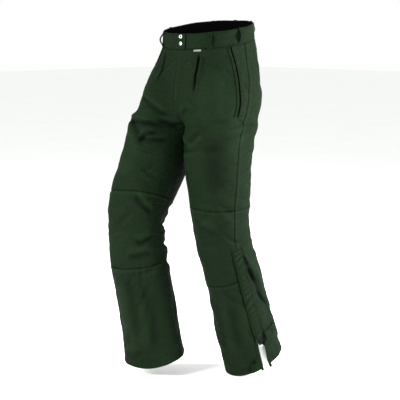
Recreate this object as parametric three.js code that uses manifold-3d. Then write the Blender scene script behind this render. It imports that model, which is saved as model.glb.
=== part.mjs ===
// Chainsaw protective trousers, in the shape they take on a wearer in mid-stride, as an assembly of
// separate pieces. Millimetres, +Z up. The wearer faces -Y, and the wearer's left is +X.
// The origin is the centre of the waist opening, level with the top edge of the waistband at the sides.
//
// Every cloth piece lies on one form: a stack of rounded sections, each given by how far it lies below
// the waist. The left and the right half meet at x = 0 down to the crotch, where they are sewn together.
import * as THREE from "three";
import { mergeVertices } from "three/addons/utils/BufferGeometryUtils.js";
import Module from "manifold-3d";

const wasm = await Module();
wasm.setup();

// ---- Driving dimensions -------------------------------------------------------------------------

// Sections: drop below the waist, centre out from the middle, centre along Y, half width, half depth,
// pitch in degrees (positive when the back of the section is its higher side), and turn of the side
// seam in degrees.
const TRUNK = [
  [0, 0, 0, 148.5, 118.5, 9.6, 0],
  [25, 0, 0, 149.5, 119.5, 9.4, 0],
  [50, 0, 0, 152, 121.5, 9, 0],
  [130, 4, 1, 162, 130, 6.5, 0],
  [200, 24, -4, 149.5, 134, 4, -1],
  [250, 55, -14, 122, 124, 2, -2],
  [282, 81, -28, 98.5, 117, 0.5, -3],
  [298, 95, -38, 94.2, 115, 0, -3],
];
const LEFT_LEG = [
  [330, 97, -50, 94, 113, 0, -4],
  [420, 98, -56, 93, 102, 0, -8],
  [500, 100, -54, 90, 94, 2, -12],
  [570, 101, -50, 86, 88, 6, -16],
  [640, 102, -36, 82, 83, 13, -19],
  [720, 103, -9, 82, 84, 17.5, -20],
  [830, 105, 27, 85, 87, 17.5, -20],
  [930, 107, 59, 88, 89, 17.5, -19],
  [1035, 109, 91, 90, 91, 17.5, -18],
];
// The right thigh swings forward, so the right half has sections of its own from the waistband down.
const RIGHT_HALF = [
  [0, 0, 0, 148.5, 118.5, 9.6, 0],
  [25, 0, 0, 149.5, 119.5, 9.4, 0],
  [50, 0, 0, 152, 121.5, 9, 0],
  [130, 4, -24, 162, 134, 4, 0],
  [200, 24, -48, 149.5, 137, -4, 0],
  [250, 55, -63, 122, 128, -10, 0],
  [282, 81, -76, 98.5, 121, -14, 0],
  [298, 95, -84, 94.2, 119, -16, -1],
  [330, 97, -99, 94, 115, -20, -2],
  [420, 97, -142, 94, 106, -24, -4],
  [500, 97, -186, 89, 94, -22, -6],
  [570, 96, -213, 85, 84, -13, -8],
  [635, 96, -210, 84, 86, -2, -10],
  [720, 97, -201, 83, 85, 8, -12],
  [810, 98, -179, 85, 86, 11, -13],
  [900, 98, -159, 87, 88, 11, -14],
  [1008, 98, -138, 91, 91, 11, -15],
];
const CROTCH = 298;
const LEG_FREE = 390; // drop at which the two inner legs no longer pull on each other
const SQUARENESS = 2.2; // exponent of the rounded sections, 2 being an ellipse

// Layers, as depths in from the outer face of the cloth.
const SHELL = [0, 1.2];
const BAG = [2.6, 3.8];
const PAD = [7, 12];
const LINING = [15.4, 16.2];
const PROUD = [-3, -1.4];
const SEAM_GAP = 0.5;

// Bodies part at drums about the hips and knees, so that each leg can swing.
const HIP = { y: -45, z: -175, r: 205 };
const KNEE = {
  left: { y: -47, z: -605, r: 103 },
  right: { y: -213, z: -600, r: 107 },
};
const DRUM_GAP = 0.8;
const DRUM_SIDES = 48;

const ROUND_SIDES = 14;
const BAND = { depth: 47, thick: 2.5 };
const LOOP = { width: 15, thick: 1.6, bow: 10, bearings: [-51, -6, 60] };
const TAB = { free: -23, root: 22, face: 2.2, thick: 1.8 };
const SNAP = { x: 4, drops: [9, 30], cap: 6.3, hole: 3.4, tube: 3, bore: 2.4, stud: 1.9 };
const FLY = { free: -9, sewn: 24, top: 49, bottom: 222, zipX: 6, zipDepth: 11.5, shield: [19.5, 20.5] };
const HEM = { left: 1035, right: 1008 };
const SEAM_BELOW_KNEE = { left: 750, right: 710 };
const LEG_ZIP = {
  left: { top: 716, bottom: 950 },
  right: { top: 722, bottom: 925 },
  slot: 13,
  depth: 4.6,
};

const GREEN = 0x2c4a33;
const COLOURS = {
  cloth: { color: GREEN, roughness: 0.85, metalness: 0 },
  lining: { color: 0xd9dcd6, roughness: 0.9, metalness: 0 },
  dark: { color: 0x121412, roughness: 0.9, metalness: 0 },
  pad: { color: 0xe6e3d6, roughness: 0.95, metalness: 0 },
  tape: { color: 0x1c2a20, roughness: 0.8, metalness: 0 },
  metal: { color: 0xc9ccce, roughness: 0.25, metalness: 1 },
  label: { color: 0x101010, roughness: 0.7, metalness: 0 },
};

// ---- The form -----------------------------------------------------------------------------------

const rad = THREE.MathUtils.degToRad;
const smooth = (x, lo, hi) => THREE.MathUtils.smoothstep(x, lo, hi);
const signOf = { left: 1, right: -1 };
const COMMON = [...TRUNK, ...LEFT_LEG];
const HALF = { left: COMMON, right: RIGHT_HALF };

// A smooth curve through the sections: cubic Hermite, with slopes from the neighbours.
function sectionAt(sections, drop) {
  const last = sections.length - 1;
  let i = 0;
  while (i < last - 1 && drop > sections[i + 1][0]) i += 1;
  const [p, q] = [sections[i], sections[i + 1]];
  const before = sections[Math.max(i - 1, 0)];
  const after = sections[Math.min(i + 2, last)];
  const h = q[0] - p[0];
  const t = (drop - p[0]) / h;
  return p.map((value, k) => {
    const slopeIn = (q[k] - before[k]) / (q[0] - before[0]);
    const slopeOut = (after[k] - value) / (after[0] - p[0]);
    return (
      value * (2 * t ** 3 - 3 * t ** 2 + 1) +
      slopeIn * h * (t ** 3 - 2 * t ** 2 + t) +
      q[k] * (3 * t ** 2 - 2 * t ** 3) +
      slopeOut * h * (t ** 3 - t ** 2)
    );
  });
}

const power = (value) => Math.sign(value) * Math.abs(value) ** (2 / SQUARENESS);

// The point of one section at an angle: 0 is the side, negative the front, and 180 the inner leg.
function onSection([drop, out, y, width, depth, pitch], angle, inset) {
  const f = (depth - inset) * power(Math.sin(angle));
  return new THREE.Vector3(
    out + (width - inset) * power(Math.cos(angle)),
    y + f * Math.cos(rad(pitch)),
    -drop + f * Math.sin(rad(pitch)),
  );
}

// The angle at which a section reaches a distance x from the middle, or the inner leg where it stays
// clear of it.
function angleAtX([, out, , width], x, inset) {
  const share = (x - out) / (width - inset);
  if (share <= -1) return Math.PI;
  const c = Math.sign(share) * Math.abs(share) ** (SQUARENESS / 2);
  return Math.acos(Math.min(1, c));
}

// A point on one half of the form, at an angle in radians. Down to the crotch both halves share their
// middle.
function formAtAngle(side, drop, angle, inset = 0) {
  const own = onSection(sectionAt(HALF[side], drop), angle, inset);
  const common = onSection(sectionAt(COMMON, drop), angle, inset);
  const free = smooth(drop, CROTCH, LEG_FREE);
  const share = THREE.MathUtils.lerp(smooth(own.x, 5, 85), 1, free);
  const p = common.lerp(own, share);
  p.x *= signOf[side];
  return p;
}

const seamAngle = (side, drop) => rad(sectionAt(HALF[side], drop)[6]);

// A point by u: -1 is the front middle or the inner leg, 0 the side seam, and 1 the back middle or the
// inner leg.
function form(side, drop, u, inset = 0, gap = SEAM_GAP) {
  const section = sectionAt(HALF[side], drop);
  const edge = angleAtX(section, gap, inset);
  const seam = seamAngle(side, drop);
  const turn = edge >= Math.PI ? seam * smooth(drop, CROTCH, LEG_FREE) : 0;
  const angle = THREE.MathUtils.lerp(seam, Math.sign(u) * edge + turn, Math.abs(u));
  return formAtAngle(side, drop, angle, inset);
}

// A point on the front, by its distance x from the middle (positive to the wearer's left).
function frontAt(x, drop, inset = 0) {
  const side = x < 0 ? "right" : "left";
  const section = sectionAt(HALF[side], drop);
  const angle = -angleAtX(section, Math.max(Math.abs(x), 0.01), inset);
  return formAtAngle(side, drop, angle, inset);
}

// ---- Solids -------------------------------------------------------------------------------------

function toSolid(geometry) {
  const bare = geometry.clone();
  for (const name of ["normal", "uv"]) bare.deleteAttribute(name);
  const merged = mergeVertices(bare, 1e-3);
  const corners = new Uint32Array(merged.index.array);
  if (volumeOf(merged) < 0) corners.reverse();
  return new wasm.Manifold(
    new wasm.Mesh({
      numProp: 3,
      vertProperties: new Float32Array(merged.attributes.position.array),
      triVerts: corners,
    }),
  );
}

function toGeometry(solid) {
  const mesh = solid.getMesh();
  const positions = new Float32Array(mesh.numVert * 3);
  for (let i = 0; i < mesh.numVert; i += 1) {
    const from = i * mesh.numProp;
    positions.set(mesh.vertProperties.subarray(from, from + 3), i * 3);
  }
  const geometry = new THREE.BufferGeometry();
  geometry.setAttribute("position", new THREE.BufferAttribute(positions, 3));
  geometry.setIndex(new THREE.BufferAttribute(mesh.triVerts, 1));
  geometry.computeVertexNormals();
  return geometry;
}

// A closed sheet between two faces. face(i, j) gives [outer, inner] points of a grid of columns by rows.
function slab(columns, rows, face) {
  const positions = [];
  for (const layer of [0, 1])
    for (let j = 0; j <= rows; j += 1)
      for (let i = 0; i <= columns; i += 1) positions.push(...face(i / columns, j / rows)[layer]);
  const at = (layer, i, j) => (layer * (rows + 1) + j) * (columns + 1) + i;
  const index = [];
  const quad = (a, b, c, d) => index.push(a, b, c, a, c, d);
  for (let j = 0; j < rows; j += 1)
    for (let i = 0; i < columns; i += 1) {
      quad(at(0, i, j), at(0, i + 1, j), at(0, i + 1, j + 1), at(0, i, j + 1));
      quad(at(1, i, j), at(1, i, j + 1), at(1, i + 1, j + 1), at(1, i + 1, j));
    }
  for (let j = 0; j < rows; j += 1) {
    quad(at(0, 0, j), at(0, 0, j + 1), at(1, 0, j + 1), at(1, 0, j));
    quad(at(0, columns, j), at(1, columns, j), at(1, columns, j + 1), at(0, columns, j + 1));
  }
  for (let i = 0; i < columns; i += 1) {
    quad(at(0, i, 0), at(1, i, 0), at(1, i + 1, 0), at(0, i + 1, 0));
    quad(at(0, i, rows), at(0, i + 1, rows), at(1, i + 1, rows), at(1, i, rows));
  }
  const geometry = new THREE.BufferGeometry();
  geometry.setAttribute("position", new THREE.Float32BufferAttribute(positions, 3));
  geometry.setIndex(index);
  return toSolid(geometry);
}

function volumeOf(geometry) {
  const [a, b, c] = [new THREE.Vector3(), new THREE.Vector3(), new THREE.Vector3()];
  const { position } = geometry.attributes;
  const corners = geometry.index.array;
  let sum = 0;
  for (let k = 0; k < corners.length; k += 3) {
    a.fromBufferAttribute(position, corners[k]);
    b.fromBufferAttribute(position, corners[k + 1]);
    c.fromBufferAttribute(position, corners[k + 2]);
    sum += a.dot(b.cross(c)) / 6;
  }
  return sum;
}

// Cloth on one half of the form, over a span of u and of drop. A span's end may be a function of the drop.
function cloth(side, [drop0, drop1], [u0, u1], [outer, inner], columns, rows, gap = SEAM_GAP) {
  const value = (end, drop) => (typeof end === "function" ? end(drop) : end);
  return slab(columns, rows, (s, t) => {
    const drop = THREE.MathUtils.lerp(drop0, drop1, t);
    const u = THREE.MathUtils.lerp(value(u0, drop), value(u1, drop), s);
    return [form(side, drop, u, outer, gap), form(side, drop, u, inner, gap)];
  });
}

// Cloth across the front middle, between two distances x.
function frontCloth([drop0, drop1], [x0, x1], [outer, inner], columns, rows) {
  return slab(columns, rows, (s, t) => {
    const drop = THREE.MathUtils.lerp(drop0, drop1, t);
    const x = THREE.MathUtils.lerp(x0, x1, s);
    return [frontAt(x, drop, outer), frontAt(x, drop, inner)];
  });
}

function block(x0, x1, y0, y1, z0, z1) {
  const box = new THREE.BoxGeometry(x1 - x0, y1 - y0, z1 - z0);
  box.translate((x0 + x1) / 2, (y0 + y1) / 2, (z0 + z1) / 2);
  return toSolid(box);
}

const union = (...solids) => solids.reduce((all, one) => all.add(one));

// What lies above a joint's drum, and in it: the share of the part that stays still when the joint turns.
function aboveDrum({ y, z, r }, grow = 0) {
  const reach = 500;
  const drum = new THREE.CylinderGeometry(r + grow, r + grow, 2 * reach, DRUM_SIDES);
  drum.rotateZ(Math.PI / 2);
  drum.rotateX(Math.PI / DRUM_SIDES);
  drum.translate(0, y, z);
  return union(toSolid(drum), block(-reach, reach, -reach, reach, z, z + reach));
}

const hipKeep = aboveDrum(HIP);
const hipCut = aboveDrum(HIP, DRUM_GAP);
const kneeKeep = { left: aboveDrum(KNEE.left), right: aboveDrum(KNEE.right) };
const kneeCut = { left: aboveDrum(KNEE.left, DRUM_GAP), right: aboveDrum(KNEE.right, DRUM_GAP) };

const seatShare = (solid) => solid.intersect(hipKeep);
const thighShare = (side, solid) => solid.subtract(hipCut).intersect(kneeKeep[side]);
const shinShare = (side, solid) => solid.subtract(kneeCut[side]);

const trousers = new THREE.Group();
trousers.name = "chainsaw_trousers";

function add(name, solid, look) {
  const mesh = new THREE.Mesh(toGeometry(solid), new THREE.MeshStandardMaterial(COLOURS[look]));
  mesh.name = name;
  trousers.add(mesh);
  return mesh;
}

// ---- Where the leg zips lie ---------------------------------------------------------------------

// A frame on the cloth: its place, outward normal, and the direction up along the cloth.
function frameAt(point, above, across) {
  const up = above.clone().sub(point).normalize();
  const sideways = across.clone().sub(point);
  sideways.addScaledVector(up, -sideways.dot(up)).normalize();
  const outward = new THREE.Vector3().crossVectors(sideways, up).normalize();
  return new THREE.Matrix4().makeBasis(sideways, up, outward).setPosition(point);
}

const placeSolid = (solid, matrix) => solid.transform(matrix.elements);

const zipFrames = {};
const zipLengths = {};
const zipSlots = {};
for (const side of ["left", "right"]) {
  const { top, bottom } = LEG_ZIP[side];
  const low = formAtAngle(side, bottom, seamAngle(side, bottom), LEG_ZIP.depth);
  const high = formAtAngle(side, top, seamAngle(side, top), LEG_ZIP.depth);
  const turn = side === "left" ? 0.1 : -0.1;
  const across = formAtAngle(side, bottom, seamAngle(side, bottom) + turn, LEG_ZIP.depth);
  const slot = block(-LEG_ZIP.slot, LEG_ZIP.slot, -120, low.distanceTo(high) + 2, -14, 14);
  zipFrames[side] = frameAt(low, high, across);
  zipLengths[side] = low.distanceTo(high);
  zipSlots[side] = placeSolid(slot, zipFrames[side]);
}

// ---- Outer cloth, pads and lining ---------------------------------------------------------------

// u of a distance along the cloth from the side seam, to the front when negative.
function besideSeam(side, distance) {
  return (drop) => {
    const section = sectionAt(HALF[side], drop);
    return distance / ((section[3] + section[4]) / 2) / Math.PI;
  };
}

for (const side of ["left", "right"]) {
  const below = SEAM_BELOW_KNEE[side];
  const hem = HEM[side];
  const front = [-0.998, -0.004];
  const back = [0.004, 0.998];
  const seatDrops = [BAND.depth + 0.6, 400];
  const thighDrops = [225, 730];
  const slot = zipSlots[side];
  const onSeat = (span, layer, columns) => seatShare(cloth(side, seatDrops, span, layer, columns, 8));
  const onThigh = (span, layer, columns, rows) =>
    thighShare(side, cloth(side, thighDrops, span, layer, columns, rows));
  const onShin = (bottom, span, layer, columns, rows) =>
    shinShare(side, cloth(side, [620, bottom], span, layer, columns, rows));
  add(`front_hip_${side}`, onSeat(front, SHELL, 10), "cloth");
  add(`back_hip_${side}`, onSeat(back, SHELL, 9), "cloth");
  add(`front_thigh_${side}`, onThigh(front, SHELL, 9, 10), "cloth");
  add(`back_thigh_${side}`, onThigh(back, SHELL, 9, 10), "cloth");
  add(`knee_panel_${side}`, onShin(below, front, SHELL, 9, 3).subtract(slot), "cloth");
  add(`front_shin_${side}`, cloth(side, [below + 0.6, hem], front, SHELL, 9, 4).subtract(slot), "cloth");
  add(`back_shin_${side}`, onShin(hem, back, SHELL, 9, 7).subtract(slot), "cloth");

  const padSpan = [-0.8, -0.22];
  add(`hip_pad_${side}`, seatShare(cloth(side, [125, 400], [-0.78, -0.22], PAD, 6, 6)), "pad");
  add(`thigh_pad_${side}`, onThigh(padSpan, PAD, 6, 8), "pad");
  add(`shin_pad_${side}`, onShin(hem - 30, padSpan, PAD, 6, 6), "pad");

  const round = [-0.995, 0.995];
  add(`thigh_lining_${side}`, onThigh(round, LINING, 18, 8), "lining");
  add(`shin_lining_${side}`, onShin(hem - 18, round, LINING, 18, 6), "lining");
}

// ---- Pockets ------------------------------------------------------------------------------------

// The slanting mouth of a front pocket runs down from the waistband towards the side seam.
const POCKET = { top: 52, bottom: 262, uTop: -0.25, uBottom: -0.075, welt: 0.05, bagTo: 258 };
function pocketMouth(drop) {
  const t = (drop - POCKET.top) / (POCKET.bottom - POCKET.top);
  return THREE.MathUtils.lerp(POCKET.uTop, POCKET.uBottom, t);
}
for (const side of ["left", "right"]) {
  const welt = [pocketMouth, (drop) => pocketMouth(drop) + POCKET.welt];
  add(`pocket_welt_${side}`, cloth(side, [POCKET.top, POCKET.bottom], welt, PROUD, 2, 8), "cloth");
  const bag = [(drop) => pocketMouth(drop) - 0.34, (drop) => pocketMouth(drop) + 0.03];
  add(`pocket_bag_${side}`, cloth(side, [60, POCKET.bagTo], bag, BAG, 5, 6), "dark");
}
add("back_pocket", cloth("right", [92, 226], [0.36, 0.76], PROUD, 5, 5), "cloth");

// ---- Waistband and belt loops -------------------------------------------------------------------

// The band and its lining run from beside the tab's root, round the back, and end under the tab.
function ring(drops, [outer, inner], columns, rows) {
  const start = -angleAtX(sectionAt(COMMON, 20), TAB.root + 0.9, 0);
  const full = 2 * Math.PI - rad(0.6);
  return slab(columns, rows, (s, t) => {
    const drop = THREE.MathUtils.lerp(drops[0], drops[1], t);
    const angle = start + s * full;
    const side = Math.cos(angle) >= 0 ? "left" : "right";
    const mirrored = side === "left" ? angle : Math.PI - angle;
    return [formAtAngle(side, drop, mirrored, outer), formAtAngle(side, drop, mirrored, inner)];
  });
}

const placed = (geometry, matrix) => toSolid(geometry.clone().applyMatrix4(matrix));

function pin(radius, from, to) {
  const rod = new THREE.CylinderGeometry(radius, radius, to - from, ROUND_SIDES);
  rod.rotateX(Math.PI / 2);
  rod.translate(0, 0, (from + to) / 2);
  return rod;
}

const snapFrames = SNAP.drops.map((drop) =>
  frameAt(frontAt(SNAP.x, drop), frontAt(SNAP.x, drop - 5), frontAt(SNAP.x + 5, drop)),
);

let band = ring([0, BAND.depth], [0, BAND.thick], 40, 1);
for (const frame of snapFrames) band = band.subtract(placed(pin(SNAP.stud + 0.5, -8, 3), frame));
add("waistband", band, "cloth");
add("waistband_lining", ring([2, BAND.depth + 8], [5.2, 6], 40, 1), "dark");

// A belt loop is a strap sewn down at both ends, bowed out between them.
function beltLoop() {
  const { width, thick, bow } = LOOP;
  const half = BAND.depth / 2;
  const profile = new THREE.Shape();
  const foot = 5;
  profile.moveTo(-half, 0.4);
  profile.lineTo(-half + foot, 0.4);
  profile.bezierCurveTo(-half + foot + 4, bow * 0.8, -10, bow, 0, bow);
  profile.bezierCurveTo(10, bow, half - foot - 4, bow * 0.8, half - foot, 0.4);
  profile.lineTo(half, 0.4);
  profile.lineTo(half, 0.4 + thick);
  profile.lineTo(half - foot + 1, 0.4 + thick);
  profile.bezierCurveTo(half - foot - 4, bow * 0.8 + 2.6, 10, bow + thick, 0, bow + thick);
  profile.bezierCurveTo(-10, bow + thick, -half + foot + 4, bow * 0.8 + 2.6, -half + foot - 1, 0.4 + thick);
  profile.lineTo(-half, 0.4 + thick);
  const strap = new THREE.ExtrudeGeometry(profile, { depth: width, bevelEnabled: false, curveSegments: 4 });
  // The profile's x runs up the band and its y outwards.
  const turn = new THREE.Matrix4().makeBasis(
    new THREE.Vector3(0, 1, 0),
    new THREE.Vector3(0, 0, 1),
    new THREE.Vector3(1, 0, 0),
  );
  strap.translate(0, 0, -width / 2);
  return strap.applyMatrix4(turn);
}

const loopPlaces = [];
for (const side of ["left", "right"])
  for (const [i, bearing] of LOOP.bearings.entries())
    loopPlaces.push([`belt_loop_${["front", "side", "rear"][i]}_${side}`, side, bearing]);
loopPlaces.push(["belt_loop_centre_back", "left", 90]);
for (const [name, side, bearing] of loopPlaces) {
  const middle = BAND.depth / 2;
  const at = (drop, degrees) => formAtAngle(side, drop, rad(degrees));
  const ahead = bearing + (side === "left" ? 3 : -3);
  const frame = frameAt(at(middle, bearing), at(middle - 10, bearing), at(middle, ahead));
  frame.multiply(new THREE.Matrix4().makeTranslation(0, 0, 1));
  add(name, placed(beltLoop(), frame), "cloth");
}

// ---- Waist tab and its press studs --------------------------------------------------------------

let tab = frontCloth([1, BAND.depth - 1], [TAB.free, TAB.root], [-TAB.face - TAB.thick, -TAB.face], 8, 3);
for (const frame of snapFrames) tab = tab.subtract(placed(pin(SNAP.hole, 1, 6), frame));
add("waist_tab", tab, "cloth");

function turned(points) {
  const profile = points.map(([x, y]) => new THREE.Vector2(x, y));
  const body = new THREE.LatheGeometry(profile, ROUND_SIDES);
  body.rotateX(Math.PI / 2);
  return body;
}
const { cap, tube, bore, stud } = SNAP;
const capProfile = [
  [0, 4],
  [bore, 4],
  [bore, 1.4],
  [4.5, 1.4],
  [4.5, 1.9],
  [tube, 1.9],
  [tube, 4.3],
  [cap, 4.3],
  [cap, 4.9],
  [cap * 0.6, 5.8],
  [0, 5.8],
];
const studProfile = [
  [0, -3.5],
  [4.6, -3.5],
  [4.6, -2.9],
  [stud, -2.9],
  [stud, 0.4],
  [4, 0.4],
  [4, 1],
  [stud - 0.2, 1],
  [stud, 2.6],
  [stud * 0.6, 3.4],
  [0, 3.4],
];
for (const [i, frame] of snapFrames.entries()) {
  const where = ["upper", "lower"][i];
  add(`snap_cap_${where}`, placed(turned(capProfile), frame), "metal");
  add(`snap_stud_${where}`, placed(turned(studProfile), frame), "metal");
}

// ---- Zips ---------------------------------------------------------------------------------------

// A zip in its own frame: x across, y up along the chain, z outwards. Both tapes carry a row of coil
// teeth, and a stop joins them at one end.
const ZIP = { tape: 13, chain: [0.9, 3], wide: 4.5, long: 11 };
function zipTape(length, stopAt, reach = ZIP.tape) {
  const half = (sign) => {
    const spread = (x0, x1) => (sign > 0 ? [x0, x1] : [-x1, -x0]);
    return union(
      block(...spread(1.2, reach), 0, length, -0.3, 0.3),
      block(...spread(...ZIP.chain), 0, length, -1.3, 1.3),
    );
  };
  const [low, high] = stopAt === "top" ? [length - 5, length] : [0, 5];
  return union(half(1), half(-1), block(-2.5, 2.5, low, high, -1.2, 1.2));
}
function zipSlider() {
  const { wide, long } = ZIP;
  return union(
    block(-0.45, 0.45, 0, long, -2.6, 2.6),
    block(-wide, wide, 0, long, 1.7, 2.8),
    block(-wide, wide, 0, long, -2.8, -1.7),
    block(-1.2, 1.2, long - 5, long - 2, 2.4, 3.3),
  );
}
const zipPull = (length) => block(-3, 3, ZIP.long - 4 - length, ZIP.long - 4, 3.7, 4.7);

// The fly zip closes at the top, so its slider rests there and runs down to the stop.
const flyFrame = frameAt(
  frontAt(FLY.zipX, FLY.bottom - 12, FLY.zipDepth),
  frontAt(FLY.zipX, 62, FLY.zipDepth),
  frontAt(FLY.zipX + 10, FLY.bottom - 12, FLY.zipDepth),
);
const flyLength = 138;
const flySliderAt = new THREE.Matrix4().makeTranslation(0, flyLength - ZIP.long - 3, 0);
const overlap = -1.5; // lets the flap's two halves join at the middle
const flapDrops = [BAND.depth + 0.6, 400];
const flapSpan = [-0.998, -0.004];
const flapCloth = ["left", "right"].map((side) => cloth(side, flapDrops, flapSpan, PROUD, 10, 8, overlap));
const flapShape = block(FLY.free, FLY.sewn, -400, 0, -FLY.bottom, -FLY.top);
add("fly_flap", union(...flapCloth).intersect(flapShape), "cloth");
add("fly_shield", frontCloth([FLY.top + 8, FLY.bottom + 4], [-12, 26], FLY.shield, 4, 5), "cloth");
add("fly_zip_tape", placeSolid(zipTape(flyLength, "bottom"), flyFrame), "tape");
add("fly_zip_slider", placeSolid(zipSlider(), flyFrame.clone().multiply(flySliderAt)), "metal");
add("fly_zip_pull", placeSolid(zipPull(17), flyFrame.clone().multiply(flySliderAt)), "metal");

// A leg zip opens from the hem up, so its slider rests at the lower end of the tapes. A cover strip is
// sewn down along its front edge, and a tab beside its lower end closes the leg round a boot.
for (const side of ["left", "right"]) {
  const frame = zipFrames[side];
  const length = zipLengths[side];
  const { bottom } = LEG_ZIP[side];
  const towardsFront = side === "left" ? -1 : 1;
  add(`zip_tape_${side}`, placeSolid(zipTape(length, "top"), frame), "tape");
  add(`zip_slider_${side}`, placeSolid(zipSlider(), frame), "metal");
  add(`zip_pull_${side}`, placeSolid(zipPull(17), frame), "metal");
  const wall = towardsFront < 0 ? [-15, -13.8] : [13.8, 15];
  const cover = union(block(-15, 15, -6, length + 6, 8.8, 10), block(...wall, -6, length + 6, 5.6, 9));
  add(`zip_cover_${side}`, placeSolid(cover, frame), "cloth");
  const tabSpan = [besideSeam(side, 17.5), besideSeam(side, 80)];
  add(`hem_tab_${side}`, cloth(side, [bottom - 36, bottom - 6], tabSpan, PROUD, 4, 1), "cloth");
}

// ---- Label --------------------------------------------------------------------------------------

add("side_label", frontCloth([BAND.depth + 1, BAND.depth + 8], [52, 76], PROUD, 3, 1), "label");

export default trousers;
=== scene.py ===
"""The looks of the chainsaw protective trousers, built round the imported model.

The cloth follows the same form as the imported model: rounded sections, each given by its drop below
the waist. A point on it is named by its side, its drop in millimetres, and its turn about the leg in
degrees: 0 is the wearer's side, -90 the front, 90 the back, and 180 the inner leg. Heights on the
form, such as folds and seams, are in millimetres.
"""

import math

import bmesh
import bpy
import numpy as np
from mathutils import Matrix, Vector


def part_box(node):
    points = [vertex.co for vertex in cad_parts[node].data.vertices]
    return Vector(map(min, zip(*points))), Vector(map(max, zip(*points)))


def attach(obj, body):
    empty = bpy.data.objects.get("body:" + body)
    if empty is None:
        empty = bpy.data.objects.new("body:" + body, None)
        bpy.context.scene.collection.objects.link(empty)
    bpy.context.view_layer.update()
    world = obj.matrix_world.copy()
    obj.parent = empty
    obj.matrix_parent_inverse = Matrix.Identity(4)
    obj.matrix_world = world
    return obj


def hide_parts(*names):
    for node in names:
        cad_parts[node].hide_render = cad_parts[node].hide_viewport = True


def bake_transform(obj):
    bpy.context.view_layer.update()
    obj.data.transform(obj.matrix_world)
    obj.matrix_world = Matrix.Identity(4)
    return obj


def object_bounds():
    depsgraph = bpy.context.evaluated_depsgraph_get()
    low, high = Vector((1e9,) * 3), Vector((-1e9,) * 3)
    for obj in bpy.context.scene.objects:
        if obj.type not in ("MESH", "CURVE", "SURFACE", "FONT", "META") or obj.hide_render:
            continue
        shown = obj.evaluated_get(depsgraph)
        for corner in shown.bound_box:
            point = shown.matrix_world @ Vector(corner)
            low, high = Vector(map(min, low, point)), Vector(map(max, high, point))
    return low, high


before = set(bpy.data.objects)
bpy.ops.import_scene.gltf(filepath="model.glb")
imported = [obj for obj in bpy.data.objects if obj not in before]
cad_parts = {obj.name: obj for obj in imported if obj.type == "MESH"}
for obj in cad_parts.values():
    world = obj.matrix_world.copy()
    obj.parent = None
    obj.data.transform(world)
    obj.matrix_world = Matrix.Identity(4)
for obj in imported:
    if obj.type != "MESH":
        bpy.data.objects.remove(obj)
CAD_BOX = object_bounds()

# ---- Driving dimensions --------------------------------------------------------------

# Sections: drop, centre out from the middle, centre along Y, half width, half depth, pitch, and turn
# of the side seam.
WAIST = [
    [0, 0, 0, 148.5, 118.5, 9.6, 0],
    [25, 0, 0, 149.5, 119.5, 9.4, 0],
    [50, 0, 0, 152, 121.5, 9, 0],
]
TRUNK = WAIST + [
    [130, 4, 1, 162, 130, 6.5, 0],
    [200, 24, -4, 149.5, 134, 4, -1],
    [250, 55, -14, 122, 124, 2, -2],
    [282, 81, -28, 98.5, 117, 0.5, -3],
    [298, 95, -38, 94.2, 115, 0, -3],
]
LEFT_LEG = [
    [330, 97, -50, 94, 113, 0, -4],
    [420, 98, -56, 93, 102, 0, -8],
    [500, 100, -54, 90, 94, 2, -12],
    [570, 101, -50, 86, 88, 6, -16],
    [640, 102, -36, 82, 83, 13, -19],
    [720, 103, -9, 82, 84, 17.5, -20],
    [830, 105, 27, 85, 87, 17.5, -20],
    [930, 107, 59, 88, 89, 17.5, -19],
    [1035, 109, 91, 90, 91, 17.5, -18],
]
RIGHT_HALF = WAIST + [
    [130, 4, -24, 162, 134, 4, 0],
    [200, 24, -48, 149.5, 137, -4, 0],
    [250, 55, -63, 122, 128, -10, 0],
    [282, 81, -76, 98.5, 121, -14, 0],
    [298, 95, -84, 94.2, 119, -16, -1],
    [330, 97, -99, 94, 115, -20, -2],
    [420, 97, -142, 94, 106, -24, -4],
    [500, 97, -186, 89, 94, -22, -6],
    [570, 96, -213, 85, 84, -13, -8],
    [635, 96, -210, 84, 86, -2, -10],
    [720, 97, -201, 83, 85, 8, -12],
    [810, 98, -179, 85, 86, 11, -13],
    [900, 98, -159, 87, 88, 11, -14],
    [1008, 98, -138, 91, 91, 11, -15],
]
COMMON = np.array(TRUNK + LEFT_LEG, float)
HALF = {"left": COMMON, "right": np.array(RIGHT_HALF, float)}
SIGN = {"left": 1, "right": -1}
SIDES = ("left", "right")
CROTCH = 298
LEG_FREE = 390
SQUARENESS = 2.2

BAND_DEPTH = 47
HEM = {"left": 1035, "right": 1008}
ABOVE_KNEE = {"left": 534, "right": 509}
BELOW_KNEE = {"left": 750, "right": 710}
HEM_TURN = 26
GRID = 2.6  # spacing of the outer cloth's points
LEG_ZIP = {"left": (716, 950), "right": (722, 925)}  # drops of the leg zip's two ends
COVER_TOP = {"left": 656, "right": 662}  # the cover strip starts above its zip
COVER_STITCH = 11.5  # from the middle of the cover strip to its stitches
SLIT = 10  # half the width of the opening below a leg zip
TAB = {"free": -24.5, "root": 22, "under": 2.2, "face": 4.4}
LOOP_BEARINGS = {"front": -51, "side": -6, "rear": 60}
BAND_RADIUS = 135.0
SEAM_ROWS = (3.0, 8.4)  # two rows of stitches beside each main seam
PAD_DEPTH, PAD_THICK, PAD_SPAN = 12.0, 4.4, (-0.8, -0.22)
LINING_DEPTH, LINING_SPAN = 19.0, (-0.985, 0.985)
FLY = {"free": -11, "sewn": 20, "curve": 172, "bottom": 218}

# ---- The form ------------------------------------------------------------------------


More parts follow.
